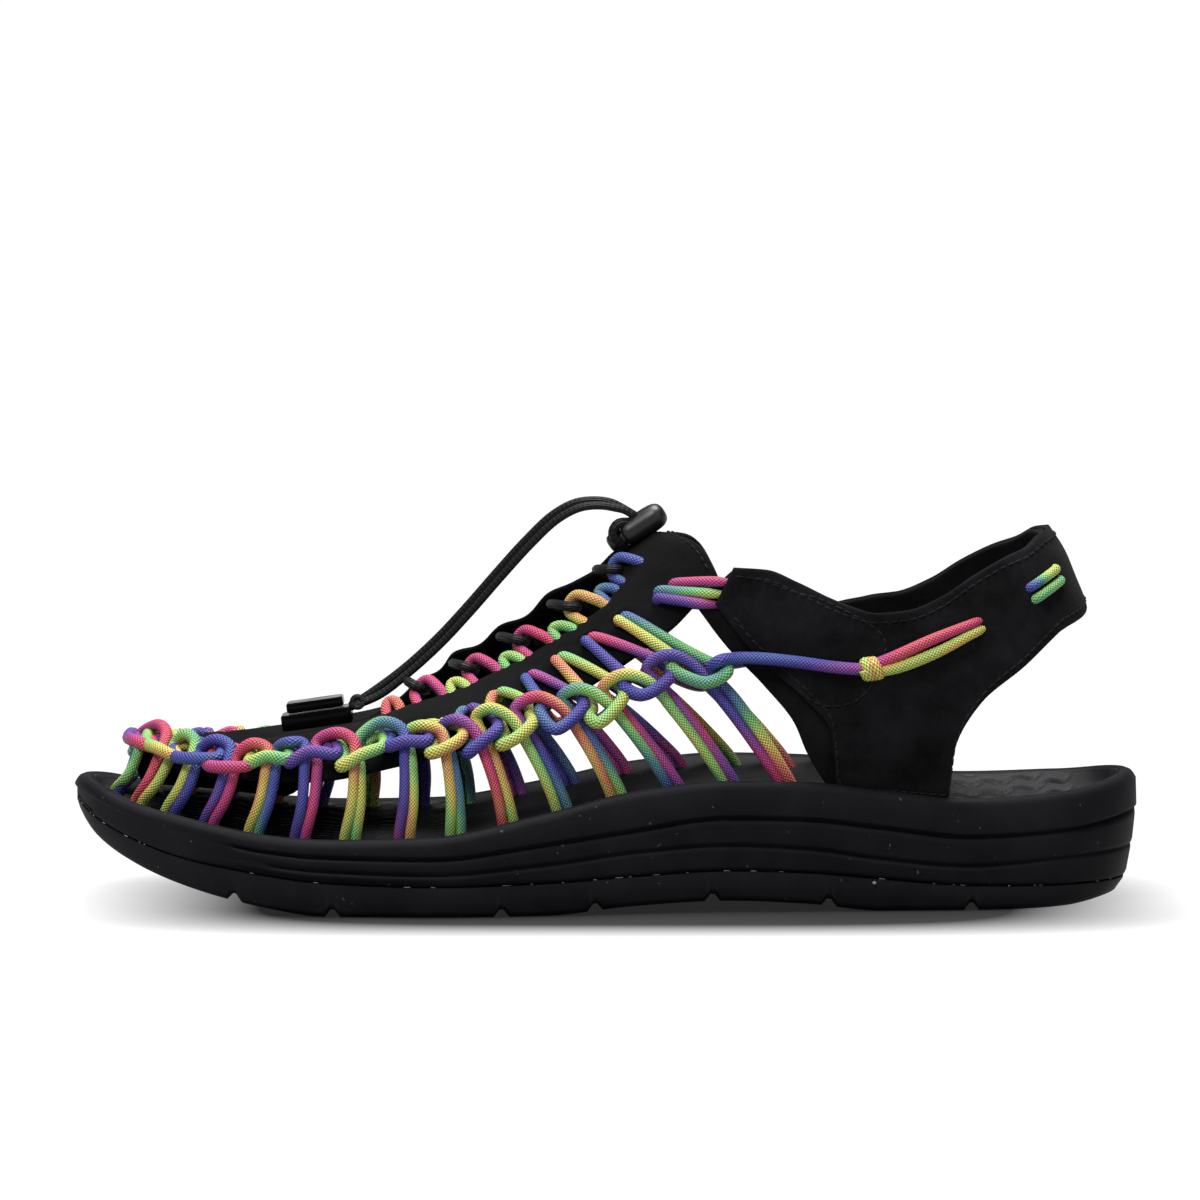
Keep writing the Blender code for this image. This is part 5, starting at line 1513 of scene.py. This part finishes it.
def make_collar_strands(material):
    for name, side in (("lateral", LATERAL), ("medial", MEDIAL)):
        for strand in COLLAR_STRANDS:
            drop = COLLAR_DROP if side == MEDIAL else 0.0
            pair, up = panel_hole(strand.hole_x, strand.hole_z - drop, side)
            hole = on_last(-side * pair, up, 0.0)
            out = last_outward(-side * pair, up)
            tip_z = strand.tip_z - drop
            tip = on_heel(strand.tip_x, tip_z, side, COLLAR_TIP_LIFT)
            lead = on_heel(strand.tip_x - LEAD_BACK, tip_z + LEAD_RISE, side, LEAD_LIFT)
            mouth = hole + out * HOLE_LIFT + [HOLE_BACK, 0, 0]
            middle = hole * (1 - SAG_SHARE) + lead * SAG_SHARE + out * SAG_LIFT
            form = Form()
            tube(form, [hole - out * HOLE_SINK, mouth, middle, lead, tip], COLLAR_RADII, CORD_SIDES,
                 dye_run(strand.dyes), phase=COLLAR_PHASE)
            node = f"collar_cord_{name}_{strand.name}"
            make_piece(f"{node}_braid", form, material, [node])


# Loops of cord at the slit, with the elastic lace through them
LOOP_COLUMNS = "pair dyes"
NEAR_LOOPS = table(
    LOOP_COLUMNS,
    (9.0, "pink pink magenta"),
    (10.8, "pink pink magenta"),
    (12.6, "red pink magenta"),
    (14.45, "yellow yellow orange"),
    (16.2, "blue blue steel"),
)
SMALL_LOOPS = table(
    LOOP_COLUMNS,
    (7.6, "orange orange red"),
    (9.75, "green lime green"),
    (11.55, "green green teal"),
    (13.3, "teal green teal"),
    (15.1, "blue steel blue"),
)
SLIT_COLUMNS = "pair across lift"
SLIT_LOOP = table(
    SLIT_COLUMNS,
    (0.30, -1.20, -2.8),
    (0.34, -1.00, -0.4),
    (0.22, -0.78, 2.4),
    (0.00, -0.52, 4.0),
    (-0.28, -0.48, 3.2),
    (-0.48, -0.62, 1.8),
    (-0.50, -0.86, 0.6),
    (-0.46, -1.06, -0.8),
    (-0.42, -1.22, -2.8),
)
SMALL_LOOP = table(
    SLIT_COLUMNS,
    (0.32, -1.25, -2.6),
    (0.30, -1.02, 0.0),
    (0.14, -0.84, 1.5),
    (-0.06, -0.80, 1.5),
    (-0.18, -0.98, 0.0),
    (-0.14, -1.25, -2.6),
)
LACE_TURN = table(
    SLIT_COLUMNS,
    (0.00, 1.00, -2.4),
    (-0.06, 0.50, 1.4),
    (-0.10, 0.05, 1.8),
    (-0.12, -0.38, 1.2),
    (-0.26, -0.70, 2.4),
    (-0.44, -0.74, 4.0),
    (-0.60, -0.42, 4.6),
    (-0.66, 0.05, 4.2),
    (-0.68, 0.50, 2.4),
    (-0.66, 1.00, -2.4),
    (-1.30, 1.25, -3.4),
)
LACE_TOP = [
    RoutePoint(7.0, 2.0, 98.0),
    RoutePoint(3.4, 0.6, 97.6),
    RoutePoint(2.2, 0.4, 95.0),
    RoutePoint(4.6, 1.6, 92.0),
]
SLIT_HIGH = 0.82


def slit_place(pair, across, lift, side):
    """Place over the slit: across runs from -1 at this side's edge, over the crest, to 1 at the other."""
    reach = -side if across <= 0 else side
    high = min(float(panel_edge["high"](pair)), SLIT_HIGH)
    up = 1.0 - abs(across) * (1.0 - high)
    outward = last_outward(reach * pair, min(up, CREST_NEAR))
    mirrored = last_outward(-reach * pair, min(up, CREST_NEAR))
    outward = unit(outward + mirrored * ease(0.8, 1.0, up))
    return last_point(reach * pair, up) + outward * lift


def slit_route(steps, pair, side):
    return [slit_place(pair + step.pair, step.across, step.lift, side) for step in steps]


def make_slit_loops(material):
    form = Form()
    for steps, loops in ((SLIT_LOOP, NEAR_LOOPS), (SMALL_LOOP, SMALL_LOOPS)):
        for loop in loops:
            tube(form, slit_route(steps, loop.pair, LATERAL), COLLAR_RADIUS, CORD_SIDES, dye_run(loop.dyes))
    make_piece("slit_loops", form, material)


def make_lace_crossings(material):
    form = Form()
    route = [tuple(point) for point in LACE_TOP]
    for loop in reversed(NEAR_LOOPS):
        route += [tuple(point) for point in slit_route(LACE_TURN, loop.pair, LATERAL)]
    tube(form, route, LACE_RADIUS, LACE_SIDES)
    make_piece("lace_zigzag", form, material, ["lace_crossings"])


def make_lace_loop(material):
    for name, side in (("near", -1.0), ("far", 1.0)):
        form = Form()
        route = np.array(LACE_ROUTE) + [0.0, side * LOOP_APART, 0.0]
        route[2:-1] += side * np.array(STRAND_SHIFT)
        path = tube(form, route, STRAND_RADIUS, LACE_SIDES, every=1.2)
        if name == "near":
            turns = np.linspace(0.0, FULL_TURN, 17)
            ring = np.column_stack([np.cos(turns), EYELET_FLATTEN * np.sin(turns), np.sin(turns)])
            tube(form, ring * EYELET_RADIUS + EYELET_CENTRE, EYELET_CORD, EYELET_SIDES, every=0.4)
        piece = make_piece(f"lace_strand_{name}", form, material, [f"lace_loop_{name}"])


def turned(form, profile, sides, flatten):
    """Turn a smooth profile of places along the lock's axis and radii, a little flattened in height."""
    axis = np.array([math.cos(LOCK_TILT), 0.0, math.sin(LOCK_TILT)])
    other = np.array([-math.sin(LOCK_TILT), 0.0, math.cos(LOCK_TILT)]) * flatten
    profile = np.array([(at, radius, 0.0) for at, radius in profile])
    fine, _ = smooth_route(profile, 0.3)
    angles = np.linspace(0.0, FULL_TURN, sides, endpoint=False)
    ring = np.cos(angles)[:, None] * other + np.sin(angles)[:, None] * np.array([0.0, 1.0, 0.0])
    centres = np.array(LOCK_CENTRE) + fine[:, :1] * axis
    points = centres[:, None] + np.abs(fine[:, 1])[:, None, None] * ring[None]
    first = form.grid(points, wrap_columns=True)
    form.fan(first + np.arange(sides), centres[0])
    form.fan(first + (len(fine) - 1) * sides + np.arange(sides), centres[-1])


# Places along the barrel: a share of its half length from its middle, then a shift in millimetres
BARREL_PROFILE = table(
    "share shift radius",
    (-1.0, 0.0, 2.6),
    (-1.0, 0.15, 3.3),
    (-1.0, 0.7, 3.9),
    (-1.0, 1.6, 4.15),
    (-0.4, 0.0, 4.2),
    (0.0, 0.0, 4.25),
    (0.4, 0.0, 4.2),
    (0.72, 0.0, 3.8),
    (0.9, 0.0, 2.9),
    (0.98, 0.0, 1.7),
    (1.0, 0.0, 0.7),
)
BUTTON_PROFILE = table(
    "from_tip radius",
    (0.0, 0.8),
    (0.15, 1.5),
    (0.6, 2.2),
    (1.3, 2.5),
    (4.0, 2.5),
    (6.2, 2.5),
)
BARREL_SIDES, BARREL_FLATTEN, BUTTON_SIDES, BUTTON_FLATTEN = 44, 0.84, 32, 1.0


def make_lock(material):
    half = LOCK_LENGTH / 2
    tip = -half - BUTTON_OUT
    barrel, button = Form(), Form()
    profile = [(row.share * half + row.shift, row.radius) for row in BARREL_PROFILE]
    turned(barrel, profile, BARREL_SIDES, BARREL_FLATTEN)
    make_piece("lock_barrel_rubber", barrel, material, ["lock_barrel"])
    profile = [(tip + row.from_tip, row.radius) for row in BUTTON_PROFILE]
    turned(button, profile, BUTTON_SIDES, BUTTON_FLATTEN)
    make_piece("lock_button_rubber", button, material, ["lock_button"], body=BUTTON_BODY)


BLOCK_EDGE, BLOCK_POINTS = 0.5, 48


def rounded_block(form, centre, length, width, height, corner, tilt):
    """A block with rounded corners and edges."""
    rings = []
    edge = BLOCK_EDGE
    turns = np.linspace(0.0, FULL_TURN, BLOCK_POINTS, endpoint=False)
    profile = [(-height / 2, edge), (-height / 2 + edge * 0.3, edge * 0.3), (-height / 2 + edge, 0.0),
               (height / 2 - edge, 0.0), (height / 2 - edge * 0.3, edge * 0.3), (height / 2, edge),
               (height / 2, 1.4 * edge)]
    for z, inset in profile:
        half_x, half_y = length / 2 - inset - corner, width / 2 - inset - corner
        x = np.sign(np.cos(turns)) * half_x + corner * np.cos(turns)
        y = np.sign(np.sin(turns)) * half_y + corner * np.sin(turns)
        place = np.column_stack([x * math.cos(tilt) - z * math.sin(tilt), y,
                                 x * math.sin(tilt) + z * math.cos(tilt)])
        rings.append(np.asarray(centre) + place)
    rings = np.array(rings)
    first = form.grid(rings, wrap_columns=True)
    count = len(turns)
    form.fan(first + np.arange(count), rings[0].mean(0))
    form.fan(first + (len(rings) - 1) * count + np.arange(count), rings[-1].mean(0))


def make_lace_end(material):
    up = np.array([-math.sin(END_TILT), 0.0, math.cos(END_TILT)])
    body, slab = Form(), Form()
    rounded_block(body, END_CENTRE, END_LENGTH, END_WIDTH, END_BODY_HEIGHT, END_CORNER, END_TILT)
    slab_centre = np.array(END_CENTRE) + up * ((END_BODY_HEIGHT + END_SLAB_HEIGHT) / 2 + GAP)
    rounded_block(slab, slab_centre, END_SLAB_LENGTH, END_SLAB_WIDTH, END_SLAB_HEIGHT, END_SLAB_CORNER,
                  END_TILT)
    return [
        make_piece("lace_end_shell", body, material, ["lace_end_body"], sharp=END_SHARP),
        make_piece("lace_end_cover", slab, material, ["lace_end_slab"], sharp=END_SHARP),
    ]


# Stage
CAMERA_DISTANCE, CAMERA_RISE = 1500.0, math.radians(4.78)
CAMERA_AIM = (-1.15, 0.0, 77.66)
CAMERA_LENS, CAMERA_SENSOR, CAMERA_REACH = 171.4, 36.0, 20.0
STUDIO_RADIUS, STUDIO_WALL, STUDIO_SIDES, STUDIO_SINK = 8.0, 1.3, 96, 0.0002
# Painted shadow on the floor: the floor's glow fades to dark in a soft patch under the sandal
SHADE_CENTRE_X, SHADE_CENTRE_Y, SHADE_HALF_X, SHADE_HALF_Y = 0.008, -0.011, 0.122, 0.058
SHADE_SQUARENESS = 4.0
SHADE_FROM, SHADE_TO, PAINTED_SHADOW_GLOW, FLOOR_WHITE = 0.8, 1.2, 0.02, 1.0
WORLD_LIGHT = 0.1
LAMPS = table(
    "name x y z size power",
    ("key", -0.60, -0.85, 1.40, 0.6, 30.0),
    ("fill", 0.85, -1.20, 0.80, 0.8, 5.0),
    ("top", 0.05, 0.25, 1.40, 0.9, 50.0),
)
LAMP_AIM = (0.0, 0.0, 0.05)


def make_camera(scene):
    camera = bpy.data.cameras.new("camera")
    camera.lens = CAMERA_LENS
    camera.sensor_width = CAMERA_SENSOR
    camera.clip_end = CAMERA_REACH
    eye = bpy.data.objects.new("camera", camera)
    aim = Vector(CAMERA_AIM) * MM
    back = Vector((0.0, -math.cos(CAMERA_RISE), math.sin(CAMERA_RISE)))
    eye.location = aim + back * CAMERA_DISTANCE * MM
    eye.rotation_euler = (math.pi / 2 - CAMERA_RISE, 0.0, 0.0)
    scene.collection.objects.link(eye)
    scene.camera = eye


def floor_material():
    """White that glows, and fades to dark in a soft patch under the sandal: a painted shadow in the floor's
    glow, placed by position and not cast by the lamps.
    """
    nodes = Nodes("studio_white")
    shape = {
        "Vector": nodes.place(),
        "Location": (-SHADE_CENTRE_X / SHADE_HALF_X, -SHADE_CENTRE_Y / SHADE_HALF_Y, 0.0),
        "Scale": (1 / SHADE_HALF_X, 1 / SHADE_HALF_Y, 1.0),
    }
    mapped = nodes.node("ShaderNodeMapping", shape).outputs["Vector"]
    split = nodes.node("ShaderNodeSeparateXYZ", {"Vector": mapped})
    sizes = [nodes.maths("ABSOLUTE", split.outputs[name]) for name in "XY"]
    powers = [nodes.maths("POWER", size, SHADE_SQUARENESS) for size in sizes]
    away = nodes.maths("POWER", nodes.maths("ADD", *powers), 1 / SHADE_SQUARENESS)
    glow = nodes.ramp(away, SHADE_FROM, SHADE_TO, PAINTED_SHADOW_GLOW, FLOOR_WHITE)
    white = nodes.finish(Base_Color=(0.02, 0.02, 0.02, 1.0), Roughness=0.9, Specular_IOR_Level=0.03,
                         Emission_Color=(1.0, 1.0, 1.0, 1.0), Emission_Strength=glow)
    white.cycles.emission_sampling = "NONE"
    return white


def make_floor(scene):
    """A round floor with a low wall."""
    angles = np.linspace(0.0, FULL_TURN, STUDIO_SIDES, endpoint=False)
    ring = STUDIO_RADIUS * np.column_stack([np.cos(angles), np.sin(angles), 0 * angles])
    studio = Form()
    first = studio.grid(np.array([ring, ring + [0.0, 0.0, STUDIO_WALL]]) / MM, wrap_columns=True)
    studio.fan(first + np.arange(STUDIO_SIDES), (0.0, 0.0, 0.0))
    mesh = bpy.data.meshes.new("studio")
    faces = np.vstack(studio.quads).tolist() + np.vstack(studio.fans).tolist()
    mesh.from_pydata((np.vstack(studio.points) * MM).tolist(), [], faces)
    mesh.materials.append(floor_material())
    floor = bpy.data.objects.new("studio", mesh)
    scene.collection.objects.link(floor)
    floor.location.z = -STUDIO_SINK


def make_lights(scene):
    world = bpy.data.worlds.new("studio")
    world.use_nodes = True
    background = world.node_tree.nodes["Background"]
    background.inputs["Color"].default_value = (1.0, 1.0, 1.0, 1.0)
    background.inputs["Strength"].default_value = WORLD_LIGHT
    scene.world = world
    for lamp in LAMPS:
        light = bpy.data.lights.new(lamp.name, "AREA")
        light.size = lamp.size
        light.energy = lamp.power
        holder = bpy.data.objects.new(lamp.name, light)
        holder.location = (lamp.x, lamp.y, lamp.z)
        holder.rotation_euler = (Vector(LAMP_AIM) - holder.location).to_track_quat("-Z", "Y").to_euler()
        scene.collection.objects.link(holder)


def make_stage():
    scene = bpy.context.scene
    make_camera(scene)
    make_floor(scene)
    make_lights(scene)
    scene.view_settings.view_transform = "Standard"


def main():
    make_stage()
    cord = cord_material()
    suede, panel_suede, lining, thread = (suede_material(row) for row in SUEDES)
    rubber, foam, bed, flash = (foam_material(row) for row in FOAMS)
    elastic = elastic_material()
    glossy, rubbery = (plastic_material(row) for row in PLASTICS)
    ends = make_lace_end(glossy)
    make_lace_loop(elastic)
    make_lace_crossings(elastic)
    make_lock(rubbery)
    make_cord_upper(cord)
    make_heel_cords(cord)
    make_back_cords(cord)
    make_collar_strands(cord)
    make_slit_loops(cord)
    make_outsole(rubber)
    make_flecks(flash)
    make_midsole(foam)
    make_footbed(bed)
    make_vamp_panel(panel_suede)
    for wall, material in zip(HEEL_WALLS, (lining, suede)):
        make_heel_wall(wall, material)
    make_stitches(thread)


main()
